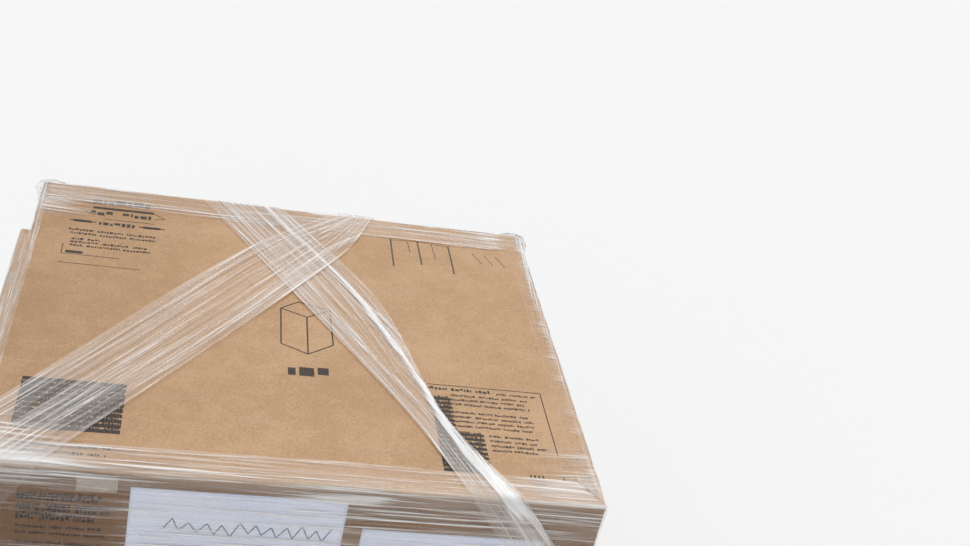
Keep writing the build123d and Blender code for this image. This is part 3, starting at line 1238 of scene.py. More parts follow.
    def row(self, flat: Array, level: Numbers, across: Numbers,
            share: float = 1.0) -> tuple[Array, ...]:
        """Give a row of vertices: its places, its distance from the edge and its share of the rim."""
        return (np.column_stack([flat, np.broadcast_to(level, len(flat))]),
                np.broadcast_to(across, len(flat)), np.full(len(flat), share))

    def crown(self, shoulder: Array, outward: Array, along: Array) -> list[tuple]:
        """Give the rows of the rim and of the turn over the top edge.

        Args:
            shoulder: Where the rim leaves the rounded edge.
            outward: Outward directions.
            along: Distance walked.

        Returns:
            The rows, from the rim's inner end outwards.
        """
        end = self.rim_end(shoulder, along)
        width = np.linalg.norm(shoulder - end, axis=1) + 1e-6
        rows = [self.row(end + (shoulder - end) * share, self.top + self.stand,
                         -(width * (1 - share) + self.half_turn), share)
                for share in np.linspace(0.0, 1.0, self.rim_rows)]
        rows += [self.row(shoulder + outward * self.radius * math.sin(turn),
                          self.wall_top + self.radius * math.cos(turn),
                          self.radius * (turn - math.pi / 4))
                 for turn in np.linspace(0.0, math.pi / 2, self.arc_rows)[1:]]
        return rows

    def skirt(self, wall: Array, outward: Array) -> list[tuple]:
        """Give the rows of the walls, the flare and the hem.

        Args:
            wall: Places on the wall.
            outward: Outward directions.

        Returns:
            The rows, from the top down.
        """
        flare_top = self.foot + self.flare_height
        count = max(2, math.ceil((self.wall_top - flare_top) / self.row_step))
        levels = [self.wall_top + (flare_top - self.wall_top) * share
                  for share in np.linspace(0.0, 1.0, count + 1)[1:]]
        rows = [self.row(wall, level, self.drop(level)) for level in levels]
        if not self.flare_height:
            return rows
        frontness = np.maximum(-outward[:, 1], 0.0)
        lean = np.column_stack([outward[:, 0], np.maximum(outward[:, 1], 0.0)])
        foot = self.foot + (self.front_foot - self.foot) * frontness
        count = max(2, math.ceil((flare_top - self.front_foot) / self.row_step / 1.5))
        for share in np.linspace(0.0, 1.0, count + 1)[1:]:
            spread = self.reach * share ** 1.5
            level = flare_top + (foot - flare_top) * share
            lift = self.front_lift * frontness * ease(share, 0.3, 0.6)
            rows.append(self.row(wall + lean * spread + outward * lift[:, None], level,
                                 self.drop(level) + spread))
        for share in (0.4, 1.0):
            flat = wall + lean * (self.reach + self.hem * share)
            flat = flat + outward * (self.front_lift * frontness)[:, None]
            rows.append(self.row(flat, foot - 0.002 * frontness * share,
                                 self.drop(foot) + self.reach + self.hem * share))
        return rows

    def build(self) -> None:
        """Make the ring."""
        base, outward, along = self.walk()
        rows = self.crown(base - outward * self.fold, outward, along)
        rows += self.skirt(base + outward * self.stand, outward)
        places, across, share = (np.array(part) for part in zip(*rows))
        walked = np.broadcast_to(along, across.shape)
        ridges = layered_noise(walked / 0.30, (across + 0.04 * walked) / 0.012, self.seed)
        ridges = np.clip(ridges, 0.0, 1.0) ** 1.3 * self.ripple
        facing = ease(across, -self.radius, self.radius)[..., None]
        normal = np.concatenate([np.broadcast_to(outward, (*across.shape, 2)) * facing,
                                 1 - facing], axis=2)
        places = places + normal * ridges[..., None]
        show_film(self.name, places, walked, across, self.cover(places, walked, across, share),
                  self.finish, self.seed)


@dataclass
class UpperHood(HoodRing):
    """The ring round the upper carton, with the dense patches at its corners."""

    def edge_gain(self, places: Array) -> Array:
        """Give a bright line at the right edge, and a dull one in the middle of the front.

        Args:
            places: Vertex places, rows by columns.

        Returns:
            The gain at each vertex.
        """
        x, y = places[..., 0], places[..., 1]
        at_front = ease(y - self.y[0], 0.008, 0.004)
        dull = ease(x - self.x[0], 0.10, 0.15) * ease(x - self.x[0], 0.52, 0.44)
        return 1.0 - 0.70 * dull * at_front + 0.9 * ease(self.x[1] - x, 0.006, 0.002) * (1 - at_front)

    def cover(self, places: Array, along: Array, across: Array,
              share: Array) -> Array:
        """Give how much film lies at each point, with corner patches and thin side rims.

        Args:
            places: Vertex places, rows by columns.
            along: Distance walked at each vertex.
            across: Distance down from the folded edge, negative on the rim.
            share: Place on the rim from its inner end at 0 to the edge at 1.

        Returns:
            The cover at each vertex.
        """
        cover = super().cover(places, along, across, share)
        left, right = self.x
        front, back = self.y
        x, y = places[..., 0], places[..., 1]
        patches = ((left + 0.05, front + 0.022, 0.13, 0.024, 1.4),
                   (left + 0.06, front + 0.010, 0.08, 0.006, 1.3),
                   (right - 0.05, front + 0.030, 0.10, 0.040, 1.4),
                   (right - 0.03, back - 0.02, 0.07, 0.030, 1.3),
                   (left + 0.04, back - 0.03, 0.09, 0.040, 0.5))
        on_top = ease(across, 0.004, -0.004)
        for centre_x, centre_y, wide, deep, gain in patches:
            spot = np.exp(-((x - centre_x) / wide) ** 2 - ((y - centre_y) / deep) ** 2)
            cover = cover + gain * spot * on_top
        beside_right = ease(right - x, 0.060, 0.030) * ease(y, front + 0.03, front + 0.07)
        inner = ease(right - x, 0.010, 0.018)
        cover = cover * (1 - 0.92 * beside_right * inner * on_top)
        printed = (ease(x - left, 0.230, 0.170) * ease(y - front, 0.006, 0.002)
                   * ease(across, 0.012, 0.040))
        return cover * (1 - 0.65 * printed)


@dataclass
class RimFeathers:
    """Short strands of film that cross the right rim."""

    name: str
    x: Span  # edge of the carton and inner end of the strands
    y: Span  # limits along the edge
    level: float  # level of the strands
    finish: Material
    seed: int
    columns: int = 150  # vertices along the edge
    rows: int = 9  # vertices along a strand
    grow: float = 3.2  # how much the pattern is drawn together along a strand

    def build(self) -> None:
        """Make the strip of strands."""
        y = np.linspace(self.y[0], self.y[1], self.columns)
        share = np.linspace(0.0, 1.0, self.rows)
        edge, inner = self.x
        length = 0.75 + 0.45 * layered_noise(y / 0.03, 0.0, self.seed)
        x = edge + (inner - edge) * share[:, None] * length[None, :]
        lift = 0.0003 * np.sin(share * math.pi)[:, None] + np.zeros_like(x)
        places = np.stack([x, np.broadcast_to(y, x.shape), self.level + lift], axis=-1)
        tufts = ease(layered_noise(y / 0.022, 2.0, self.seed), -0.25, 0.45)
        fade = (1 - ease(share, 0.10, 1.0))[:, None] * (0.10 + 1.15 * tufts)
        show_film(self.name, places, (x - edge) * self.grow, places[..., 1] + 0.15 * x, fade,
                  self.finish, self.seed)


@dataclass
class TopVeil:
    """A thin run of film strands over a part of the top, fading out from its dense end."""

    name: str
    skin: BoardSkin
    x: Span  # limits along X, from the carton's left edge
    y: Span  # limits along Y, from its front edge
    dense: tuple[float, float]  # share of the way along X and Y where the strands lie densest
    finish: Material
    seed: int
    gain: float = 1.2  # cover at the densest place
    slant: float = 0.04  # sideways run of the strands for each metre
    lift: float = 0.0018  # distance from the carton
    cell: float = 0.0035

    def build(self) -> None:
        """Make the run of strands."""
        counts = [math.ceil((high - low) / self.cell) + 1 for low, high in (self.x, self.y)]
        run, side = np.meshgrid(*(np.linspace(0, 1, count) for count in counts), indexing="ij")
        x = self.skin.x[0] + self.x[0] + (self.x[1] - self.x[0]) * run
        y = self.skin.y[0] + self.y[0] + (self.y[1] - self.y[0]) * side
        ahead, aside = (np.abs(share - dense) / max(dense, 1 - dense)
                        for share, dense in zip((run, side), self.dense))
        lengths = 0.75 + 0.45 * layered_noise(y / 0.006, 0.0, self.seed)
        fade = (1 - ease(ahead / np.maximum(lengths, 0.2), 0.1, 1.0)) * (1 - ease(aside, 0.2, 1.0))
        border = np.minimum(np.minimum(run, 1 - run), np.minimum(side, 1 - side))
        fade = fade * ease(border, 0.0, 0.06)
        level = self.skin.z[1] + self.lift + 0.0004 * layered_noise(x / 0.05, y / 0.004, self.seed + 1)
        show_film(self.name, np.stack([x, y, level], axis=-1), x, y + self.slant * x,
                  self.gain * fade, self.finish, self.seed)


@dataclass
class CornerLoop:
    """A loose loop of film that stands off an upright edge just below the top."""

    name: str
    corner: Triple  # place of the edge's top
    # Direction from the edge into the carton along X and along Y, each 1 or -1
    inward: tuple[float, float]
    finish: Material
    seed: int
    bulge: float = 0.010  # how far it stands off at the top
    height: float = 0.075  # how far down it reaches
    reach: float = 0.045  # how far it lies on each face
    crumple: float = 0.0030  # height of its folds
    gain: float = 1.2  # cover in the middle
    rows: int = 34  # vertices down the loop
    columns: int = 49  # vertices round the edge

    def build(self) -> None:
        """Make the loop."""
        down, turn = np.meshgrid(np.linspace(0.0, 1.0, self.rows), np.linspace(-1.0, 1.0, self.columns),
                                 indexing="ij")
        away, on_side = np.abs(turn) * self.reach, turn < 0
        share = ease(turn, -0.35, 0.35)
        normal = np.stack([-self.inward[0] * (1 - share), -self.inward[1] * share], axis=-1)
        normal = normal / np.linalg.norm(normal, axis=-1, keepdims=True)
        base = np.stack([np.where(on_side, 0.0, self.inward[0] * away),
                         np.where(on_side, self.inward[1] * away, 0.0)], axis=-1)
        hug = np.cos(turn * math.pi / 2) ** 0.8
        uneven = 0.75 + 0.5 * field_noise(down * 3, turn, self.seed)
        loose = self.bulge * (1 - ease(down, 0.15, 1.0)) * uneven
        folds = layered_noise(down * 2.2 + turn * 1.5, turn * 6.0, self.seed + 1)
        stand = 0.0014 + hug * (loose + self.crumple * (1 + folds) * (1 - 0.6 * down))
        flat = base + normal * stand[..., None]
        lip = 0.0035 * field_noise(turn * 3.0, 0.0, self.seed + 2) * (1 - down)
        length = 0.85 + 0.25 * field_noise(turn * 2.0, 4.0, self.seed)
        level = -0.004 - self.height * down * length + lip
        places = np.array(self.corner) + np.concatenate([flat, level[..., None]], axis=-1)
        fade = ease(1 - np.abs(turn), 0.0, 0.35) * ease(1 - down, 0.0, 0.4)
        border = ease(down, 0.09, 0.02)
        cover = self.gain * fade * (0.8 + 0.5 * np.clip(folds, 0.0, 1.0)) + 1.2 * border * fade
        show_film(self.name, places, turn * self.reach + down * 0.03,
                  self.height * down + turn * 0.02, cover, self.finish, self.seed)


@dataclass(frozen=True)
class Rope:
    """The tightly drawn strand in a band."""

    places: Sequence[float]  # distances behind the carton's front at which its path is given
    shares: Sequence[float]  # its place across the band at each of them
    width: float  # its width where it is fully drawn
    height: float  # its height


@dataclass
class GatheredBand:
    """A pass of film drawn together into a band of long pale strands."""

    node: str
    skin: BoardSkin
    # Near edge, middle and far edge of the band at each turn, on the sharp box
    sections: list[list[Triple]]
    stand: float  # distance from the carton
    finish: Material
    seed: int
    lanes: int = 24  # how many strands lie side by side
    thick: Span = (0.0008, 0.0018)  # thinnest and thickest strand
    veil: float = 0.60  # cover between the strands
    rope: Optional[Rope] = None  # the tightly drawn strand, if there is one
    settle: float = 0.0  # share of its strands that melts into the wall below the front edge
    strand_gain: float = 1.15  # cover that a strand adds
    ridge: float = 0.0010  # height of a strand
    columns: int = 161  # vertices across the band
    row_step: float = 0.009  # largest distance between rows

    def rows(self) -> Array:
        """Give both edges and the middle at every row, smooth where it crosses the top.

        Returns:
            Three places for each row.
        """
        ends = np.array(self.sections)
        on_top = np.abs(ends[:, 0, 2] - self.skin.z[1]) < 1e-6
        rows = [ends[:1]]
        for index in range(len(ends) - 1):
            start, finish = ends[index], ends[index + 1]
            length = np.linalg.norm((finish - start).mean(axis=0))
            slope_in, slope_out = finish - start, finish - start
            if on_top[index] and on_top[index + 1]:
                if index > 0 and on_top[index - 1]:
                    slope_in = self.slope(ends, index) * length
                if index + 2 < len(ends) and on_top[index + 2]:
                    slope_out = self.slope(ends, index + 1) * length
            share = np.linspace(0.0, 1.0, max(2, math.ceil(length / self.row_step)) + 1)[1:, None, None]
            rows.append((2 * share ** 3 - 3 * share ** 2 + 1) * start
                        + (share ** 3 - 2 * share ** 2 + share) * slope_in
                        + (3 * share ** 2 - 2 * share ** 3) * finish
                        + (share ** 3 - share ** 2) * slope_out)
        return np.concatenate(rows)

    def slope(self, ends: Array, index: int) -> Array:
        """Give the run of the band for each metre at one section.

        Args:
            ends: All sections.
            index: Number of the section.

        Returns:
            The run of both edges and the middle.
        """
        before = np.linalg.norm((ends[index] - ends[index - 1]).mean(axis=0))
        after = np.linalg.norm((ends[index + 1] - ends[index]).mean(axis=0))
        return (ends[index + 1] - ends[index - 1]) / (before + after)

    def strands(self, walked: Array, across: Array, width: Array) -> Array:
        """Give the strength of the strands at each vertex.

        Args:
            walked: Distance along the band.
            across: Share of the way across it.
            width: Width of the band.

        Returns:
            The strength, 1 at the middle of a plain strand.
        """
        rng = np.random.default_rng(self.seed)
        total = np.zeros_like(walked)
        for number in range(self.lanes):
            middle = (number + rng.uniform(0.05, 0.95)) / self.lanes
            middle = middle + 0.055 * layered_noise(walked / 0.24, number * 3.1, self.seed, 3)
            off = across - np.clip(middle, 0.008, 0.992)
            swelling = field_noise(walked / 0.07, number * 5.3, self.seed)
            thick = rng.uniform(*self.thick) * (1 + 0.5 * swelling)
            patches = layered_noise(walked / 0.10, number * 7.7, self.seed + 1)
            gain = rng.uniform(0.45, 1.0) + 0.75 * patches
            total += np.clip(gain, 0.0, 1.5) * np.exp(-(off * width / thick) ** 2)
        return np.minimum(total * np.clip(width / 0.13, 0.5, 1.0), 1.5)

    def draw_rope(self, base: Array, walked: Array, across: Array, width: Array,
                  height: Array) -> tuple[Array, Array]:
        """Draw the tight strand, which spreads again below the front edge.

        Args:
            base: Places on the sharp box.
            walked: Distance along the band.
            across: Share of the way across it.
            width: Width of the band.
            height: Height of the strands.

        Returns:
            The height with the rope, and the cover that it adds.
        """
        behind = base[..., 1] - self.skin.y[0]
        growth = ease(behind, 0.72, 0.36)
        below = ease(self.skin.z[1] - base[..., 2], 0.004, 0.040) * growth
        swell = ease(behind, 0.20, 0.0)
        rope_width = self.rope.width * (0.46 + 0.54 * swell) * (1 + 0.5 * below)
        path = np.interp(behind, self.rope.places, self.rope.shares)
        off = (across - path) * width / rope_width
        drawn_in = np.exp(-(off * 2.1) ** 2)
        raised = self.rope.height * drawn_in * (0.35 + 0.65 * growth) * (1 - below)
        height = height * (1 - drawn_in) + raised
        streaks = 0.5 + 0.9 * field_noise(walked / 0.05, across * width / 0.0022, self.seed + 11)
        wisps = 0.5 * np.exp(-(off * 0.9) ** 2) * (0.6 + 0.8 * streaks) * (1 - 0.4 * below)
        loose = 1 - below * (0.60 - 0.45 * streaks)
        split = 0.50 + 0.62 * streaks + 0.30 * swell
        tight = 1.2 + 2.3 * growth * (1 - below) - 0.7 * below
        return height, tight * drawn_in * loose * split + wisps

    def build(self) -> None:
        """Make the band."""
        rows = self.rows()
        share = np.linspace(0.0, 1.0, self.columns)
        steps = np.linalg.norm(np.diff(rows.mean(axis=1), axis=0), axis=1)
        along = np.concatenate([[0.0], np.cumsum(steps)])
        walked, across = np.meshgrid(along, share, indexing="ij")
        first = np.clip(across * 2, 0.0, 1.0)[..., None]
        second = np.clip(across * 2 - 1, 0.0, 1.0)[..., None]
        base = rows[:, :1] * (1 - first) + rows[:, 1:2] * (first - second) + rows[:, 2:] * second
        width = np.linalg.norm(np.diff(rows, axis=1), axis=2).sum(axis=1)[:, None]
        strands = self.strands(walked, across, width)
        height = self.ridge * np.minimum(strands, 1.0)
        behind = base[..., 1] - self.skin.y[0]
        border = ease(np.minimum(across, 1 - across) * width, 0.009, 0.0)
        border = border * ease(layered_noise(walked / 0.15, np.round(across), self.seed + 3), -0.7, 0.4)
        border = border * ease(behind, 0.0, 0.07)
        cover = self.veil + 0.35 * field_noise(walked / 0.12, across * 4.0, self.seed + 7) * self.veil
        cover = cover + self.strand_gain * strands + 0.5 * border
        if self.rope:
            height, gain = self.draw_rope(base, walked, across, width, height)
            cover = cover + gain
        cover = cover * ease(np.minimum(walked, along[-1] - walked), 0.0, 0.11)
        melted = ease(behind, 0.004, -0.004) * ease(self.skin.z[1] - base[..., 2], -0.004, 0.020)
        cover = cover * (1 - self.settle * melted)
        places = self.skin.cling(base.reshape(-1, 3), self.stand + height.ravel(), yielding=False)
        show_film(f"dressed_{self.node}", places, walked, across * width, cover, self.finish,
                  self.seed, self.node)


# Pallet

@dataclass
class SawnTimber:
    """A rough board or beam with worn edges, torn ends and splits."""

    node: str
    along: int  # axis of the grain: 0 for X, 1 for Y
    seed: int
    finish: Material
    notches: Sequence[Span] = ()  # limits along Y of the notches in its underside
    notch_top: float = 0.0  # level of the notches' upper side
    notch_radius: float = 0.0127  # radius of their upper corners
    wane: float = 0.0016  # most that an edge is worn away
    split_depth: float = 0.0050  # depth of the splits at the ends
    step_along: float = 0.012  # mesh cell along the grain
    step_across: float = 0.008  # mesh cell across it
    edge_width: float = 0.003  # width at each edge where the mesh is finer

    def underside(self, y: Array, low: float) -> Array:
        """Give the level of the underside along Y, with the rounded notches.

        Args:
            y: Places along Y.
            low: Level of the plain underside.

        Returns:
            The level at each place.
        """
        level = np.full(y.shape, low)
        for start, end in self.notches:
            inside = (y > start) & (y < end)
            corner = np.clip(self.notch_radius - np.minimum(y - start, end - y), 0.0, self.notch_radius)
            arc = self.notch_radius - np.sqrt(np.maximum(self.notch_radius ** 2 - corner ** 2, 0.0))
            level = np.where(inside, self.notch_top - arc, level)
        return level

    def lines(self, spans: Sequence[Span], splits: Sequence[float]) -> list[Array]:
        """Give the grid lines along X, Y and Z.

        Args:
            spans: Limits along the three axes.
            splits: Places of the splits across the grain.

        Returns:
            The places of the lines.
        """
        extras = [[], [], []]
        extras[1 - self.along] += [place + step for place in splits
                                   for step in (-0.0016, -0.0007, 0.0, 0.0007, 0.0016)]
        for start, end in self.notches:
            bends = self.notch_radius * (1 - np.cos(np.linspace(0.0, math.pi / 2, 6)))
            extras[1] += [start - 0.0001, end + 0.0001]
            extras[1] += list(start + 0.0001 + bends) + list(end - 0.0001 - bends)
        steps = [self.step_along if axis == self.along else self.step_across for axis in range(3)]
        return [stations(span, step, self.edge_width, extra)
                for span, step, extra in zip(spans, steps, extras)]

    def wear(self, points: Array, spans: Sequence[Span], gaps: Sequence[Array]) -> Array:
        """Give the inward move of worn edges, chips and torn ends.

        Args:
            points: Places on the sharp box.
            spans: Limits along the three axes.
            gaps: Distance of each point from the nearer limit of each axis.

        Returns:
            The moves.
        """
        side, run = 1 - self.along, points[:, self.along]
        move = np.zeros_like(points)
        chips = ease(layered_noise(run / 0.02, points.sum(axis=1) / 0.03, self.seed + 7), 0.35, 0.8)
        for axis, (low, high) in enumerate(spans):
            inward = np.where(points[:, axis] - low < high - points[:, axis], 1.0, -1.0)
            edge = ease(np.minimum(*(gaps[other] for other in range(3) if other != axis)), 0.0045, 0.0)
            splinters = layered_noise(run / 0.06, points[:, side] / 0.02 + 9 * axis, self.seed + axis)
            rough = 0.5 + 0.5 * splinters
            depth = self.wane * edge * (0.35 + 0.65 * rough) + 0.0015 * chips * edge + 0.0004 * rough
            if axis == self.along:
                torn = layered_noise(points[:, side] / 0.006, points[:, 2] / 0.004, self.seed + 11)
                depth = depth + 0.0012 * (1 + torn)
            move[:, axis] = inward * ease(gaps[axis], 0.004, 0.0) * depth
        return move

    def build(self) -> None:
        """Make the piece."""
        rng = np.random.default_rng(self.seed)
        spans = spans_of(self.node)
        side, (low, high) = 1 - self.along, spans[2]
        middle, half = sum(spans[side]) / 2, (spans[side][1] - spans[side][0]) / 2
        splits = [] if self.notches else [middle + half * rng.uniform(-0.7, 0.7) for _ in range(2)]
        points, quads = box_grid(self.lines(spans, splits))
        gaps = [np.minimum(points[:, axis] - start, end - points[:, axis])
                for axis, (start, end) in enumerate(spans)]
        move = self.wear(points, spans, gaps)
        stain = (0.75 * ease(gaps[self.along], 0.020, 0.0)
                 + 0.35 * ease(np.minimum(gaps[side], gaps[2]), 0.003, 0.0))
        into = np.where(points[:, 2] - low > high - points[:, 2], -1.0, 1.0)
        for place, end in zip(splits, spans[self.along]):
            length = rng.uniform(0.05, 0.16)
            near = ease(np.abs(points[:, self.along] - end), length, length * 0.5)
            groove = near * ease(np.abs(points[:, side] - place), 0.0012, 0.0002)
            move[:, 2] += into * groove * self.split_depth * ease(gaps[2], 0.001, 0.0)
            stain = np.maximum(stain, groove)
        places = points + move
        if self.notches:
            share = (places[:, 2] - low) / (high - low)
            under = self.underside(points[:, 1], low)
            places[:, 2] = under + share * (high - under)
        heart = np.array([0.0, 0.0, low - rng.uniform(0.02, 0.07)])
        heart[side] = middle + half * rng.uniform(-0.6, 0.6)
        grain = places - heart
        grain = np.column_stack([grain[:, self.along] + rng.uniform(0, 5), grain[:, side], grain[:, 2]])
        show(f"dressed_{self.node}", places, quads, self.finish,
             {"grain": grain, "stain": np.clip(stain, 0.0, 1.0)}, [self.node])


@dataclass
class Pallet:
    """The timber pallet: rough boards on notched stringers, and nails."""

    timber: Material
    steel: Material  # finish of the nails
    notch_from_end: float = 0.1524  # distance from a stringer's end to its notch
    notch_length: float = 0.2286
    notch_height: float = 0.0381
    head: float = 0.0042  # radius of a nail head
    rise: float = 0.0009  # how far a head stands out
    sides: int = 10  # corners of a head
    stray: Span = (0.008, 0.006)  # most that a nail stands beside its place, along X and along Y

    def dress(self) -> None:
        """Make every board and stringer."""
        near, far = self.notch_from_end, self.notch_from_end + self.notch_length
        names = sorted(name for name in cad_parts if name.startswith("pallet_"))
        for number, name in enumerate(names):
            beam = "stringer" in name
            _, (front, back), (low, _) = spans_of(name)
            notches = [(front + near, front + far), (back - far, back - near)] if beam else ()
            SawnTimber(name, int(beam), 500 + 20 * number, self.timber, notches,
                       low + self.notch_height).build()

    def nails(self) -> None:
        """Make the nail heads where boards cross stringers."""
        rng = np.random.default_rng(41)
        rings = np.linspace(0.0, 2 * math.pi, self.sides, endpoint=False)
        points, faces = [], []
        for board in sorted(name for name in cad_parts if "_board_" in name):
            _, (y_low, y_high), (z_low, z_high) = spans_of(board)
            on_top = "_top_" in board
            side, level, proud = (1.0, z_high, self.rise) if on_top else (-1.0, z_low, 0.0)
            rows = 3 if y_high - y_low > 0.1 else 2
            for stringer in ("left", "middle", "right"):
                beam = spans_of(f"pallet_stringer_{stringer}")[0]
                for row in range(rows):
                    centre_x = sum(beam) / 2 + rng.uniform(-self.stray[0], self.stray[0])
                    centre_y = y_low + (y_high - y_low) * ((row + 0.5) / rows)
                    centre_y += rng.uniform(-self.stray[1], self.stray[1])
                    first = len(points)
                    for radius, rise in ((1.0, -0.0004), (1.0, 0.6 * proud), (0.7, proud)):
                        for angle in rings:
                            points.append((centre_x + self.head * radius * math.cos(angle),
                                           centre_y + self.head * radius * math.sin(angle),
                                           level + side * rise))
                    made = []
                    for low in (first, first + self.sides):
                        for corner in range(self.sides):
                            after = (corner + 1) % self.sides
                            made.append((low + corner, low + after, low + self.sides + after,
                                         low + self.sides + corner))
                    made.append(tuple(range(first + 2 * self.sides, first + 3 * self.sides)))
                    faces += made if on_top else [face[::-1] for face in made]
        show("pallet_nails", np.array(points), faces, self.steel)


# Prints

@dataclass
class TopPrint:
    """Generic marks on top of the upper carton, placed from its front left corner."""

    skin: BoardSkin
    ink: Material  # finish of the printed marks
    pen: Material  # finish of the drawn marks
    rubbed: Material  # finish of the rubbed lines

    def address_block(self) -> list[Stroke]:
        """Lay the heading and lines at the back left.

        Returns:
            The strokes.
        """
        rng = np.random.default_rng(5)
        strokes = word_blocks(0.087, 0.712, 0.098, 0.018, rng)
        strokes += [Stroke(0.088, 0.688, 0.099, 0, 0.007), Stroke(0.110, 0.652, 0.080, 0, 0.0016)]
        strokes += word_blocks(0.086, 0.672, 0.103, 0.014, rng)
        strokes += drawn(((0.068, 0.679), (0.090, 0.664), (0.110, 0.663)), 0.0014)
        strokes += drawn(((0.188, 0.687), (0.206, 0.672), (0.190, 0.668)), 0.0014)
        for left in (0.056, 0.166):
            strokes += [Stroke(left, 0.637, 0.042, 0, 0.0030),
                        Stroke(left + 0.007, 0.637, 0.028, 0, 0.0075)]
        strokes += word_blocks(0.102, 0.637, 0.061, 0.012, rng)
        for start, level, length in ((0.058, 0.607, 0.139), (0.062, 0.595, 0.136), (0.066, 0.577, 0.044),
                                     (0.065, 0.567, 0.120), (0.065, 0.556, 0.130)):
            strokes += word_blocks(start, level, length, 0.0064, rng)
        strokes += [Stroke(0.055, 0.527, 0, 0.030, 0.0014), Stroke(0.055, 0.527, 0.090, 0, 0.0014),
                    Stroke(0.061, 0.534, 0.026, 0, 0.0080), Stroke(0.054, 0.499, 0.123, 0, 0.0014)]
        return strokes

    def parcel_outline(self) -> list[Stroke]:
        """Draw a plain parcel with a line of blocks below it.

        Returns:
            The strokes.
        """
        left, near, right = (0.396, 0.329), (0.436, 0.307), (0.475, 0.337)
        left_top, near_top, right_top = (0.397, 0.429), (0.437, 0.409), (0.474, 0.436)
        strokes = []
        for places in ((left, near, right), (left, left_top), (near, near_top), (right, right_top),
                       (left_top, near_top, right_top, (0.425, 0.452), left_top)):
            strokes += drawn(places, 0.0022)
        return strokes + word_blocks(0.405, 0.262, 0.060, 0.026, np.random.default_rng(6))

    def dark_block(self) -> list[Stroke]:
        """Lay the dark patch at the front left: bars with rows of small gaps between.

        Returns:
            The strokes.
        """
        rng = np.random.default_rng(7)
        strokes = []
        for row in range(10):
            level = 0.0805 + row * 0.0116
            strokes.append(Stroke(0.046, level, 0.137, 0, 0.0078))
            if row < 9:
                strokes += word_blocks(0.046, level + 0.0058, 0.137, 0.0052, rng)
        return strokes

    def front_row(self) -> list[Stroke]:
        """Lay the faint row of print below the front rim of the film.

        Returns:
            The strokes.
        """
        rng = np.random.default_rng(10)
        return (word_blocks(0.044, 0.046, 0.136, 0.009, rng)
                + word_blocks(0.060, 0.030, 0.110, 0.006, rng))

    def creases(self) -> list[Stroke]:
        """Draw the faint rubbed lines across the board.

        Returns:
            The strokes.
        """
        return [Stroke(0.012, 0.226, 0.118, -0.004, 0.0022), Stroke(0.205, 0.166, 0.086, 0.003, 0.0018),
                Stroke(0.470, 0.086, 0.100, 0.002, 0.0016), Stroke(0.560, 0.520, 0.070, -0.010, 0.0016),
                Stroke(0.330, 0.132, 0.046, 0.010, 0.0014)]

    def framed_block(self) -> list[Stroke]:
        """Lay the framed lines and dark squares at the right.

        Returns:
            The strokes.
        """
        rng = np.random.default_rng(8)
        strokes = drawn(((0.612, 0.258), (0.786, 0.258), (0.786, 0.106)), 0.0016)
        strokes += word_blocks(0.606, 0.249, 0.100, 0.008, rng)
        strokes += word_blocks(0.716, 0.246, 0.060, 0.005, rng)
        for level in (0.234, 0.223, 0.212, 0.192, 0.181, 0.170, 0.159, 0.140, 0.129, 0.118, 0.108):
            start = 0.645 if level > 0.150 else 0.690
            strokes += word_blocks(start, level, rng.uniform(0.750, 0.779) - start, 0.0052, rng)
        for row in range(17):
            level, wide = 0.056 + row * 0.0104, row < 9
            strokes.append(Stroke(0.614, level, 0.068 if wide else 0.030, 0, 0.0064))
            strokes += word_blocks(0.614, level + 0.0052, 0.064 if wide else 0.027, 0.0046, rng)
        strokes += [Stroke(0.737 + 0.0060 * bar, 0.046, 0, 0.013, 0.0024) for bar in range(4)]
        strokes += [Stroke(0.738, 0.038, 0.019, 0, 0.0022), Stroke(0.785, 0.050, 0, 0.009, 0.0022)]
        return strokes

    def tally(self) -> list[Stroke]:
        """Draw the tally strokes at the back right.

        Returns:
            The strokes.
        """
        thin, thick = 0.0014, 0.0028
        return [Stroke(0.592, 0.696, -0.002, -0.097, thick), Stroke(0.592, 0.692, 0.047, 0.005, thin),
                Stroke(0.622, 0.693, 0.001, -0.039, thin), Stroke(0.640, 0.698, 0.000, -0.084, thick),
                Stroke(0.640, 0.696, 0.055, -0.006, thin), Stroke(0.665, 0.691, 0.002, -0.050, thin),
                Stroke(0.695, 0.693, 0.000, -0.098, thick), Stroke(0.737, 0.676, 0.012, -0.034, thin),
                Stroke(0.758, 0.674, 0.012, -0.034, thin), Stroke(0.779, 0.672, 0.012, -0.034, thin)]

    def build(self) -> None:
        """Make the printed and the drawn marks."""
        printed = (self.address_block() + self.parcel_outline() + self.dark_block()
                   + self.framed_block() + self.front_row())
        InkMarks("top_creases", self.skin, Face.TOP, self.creases(), self.rubbed, lift=0.0001).build()
        InkMarks("top_print", self.skin, Face.TOP, printed, self.ink).build()
        InkMarks("top_pen_marks", self.skin, Face.TOP, self.tally(), self.pen).build()


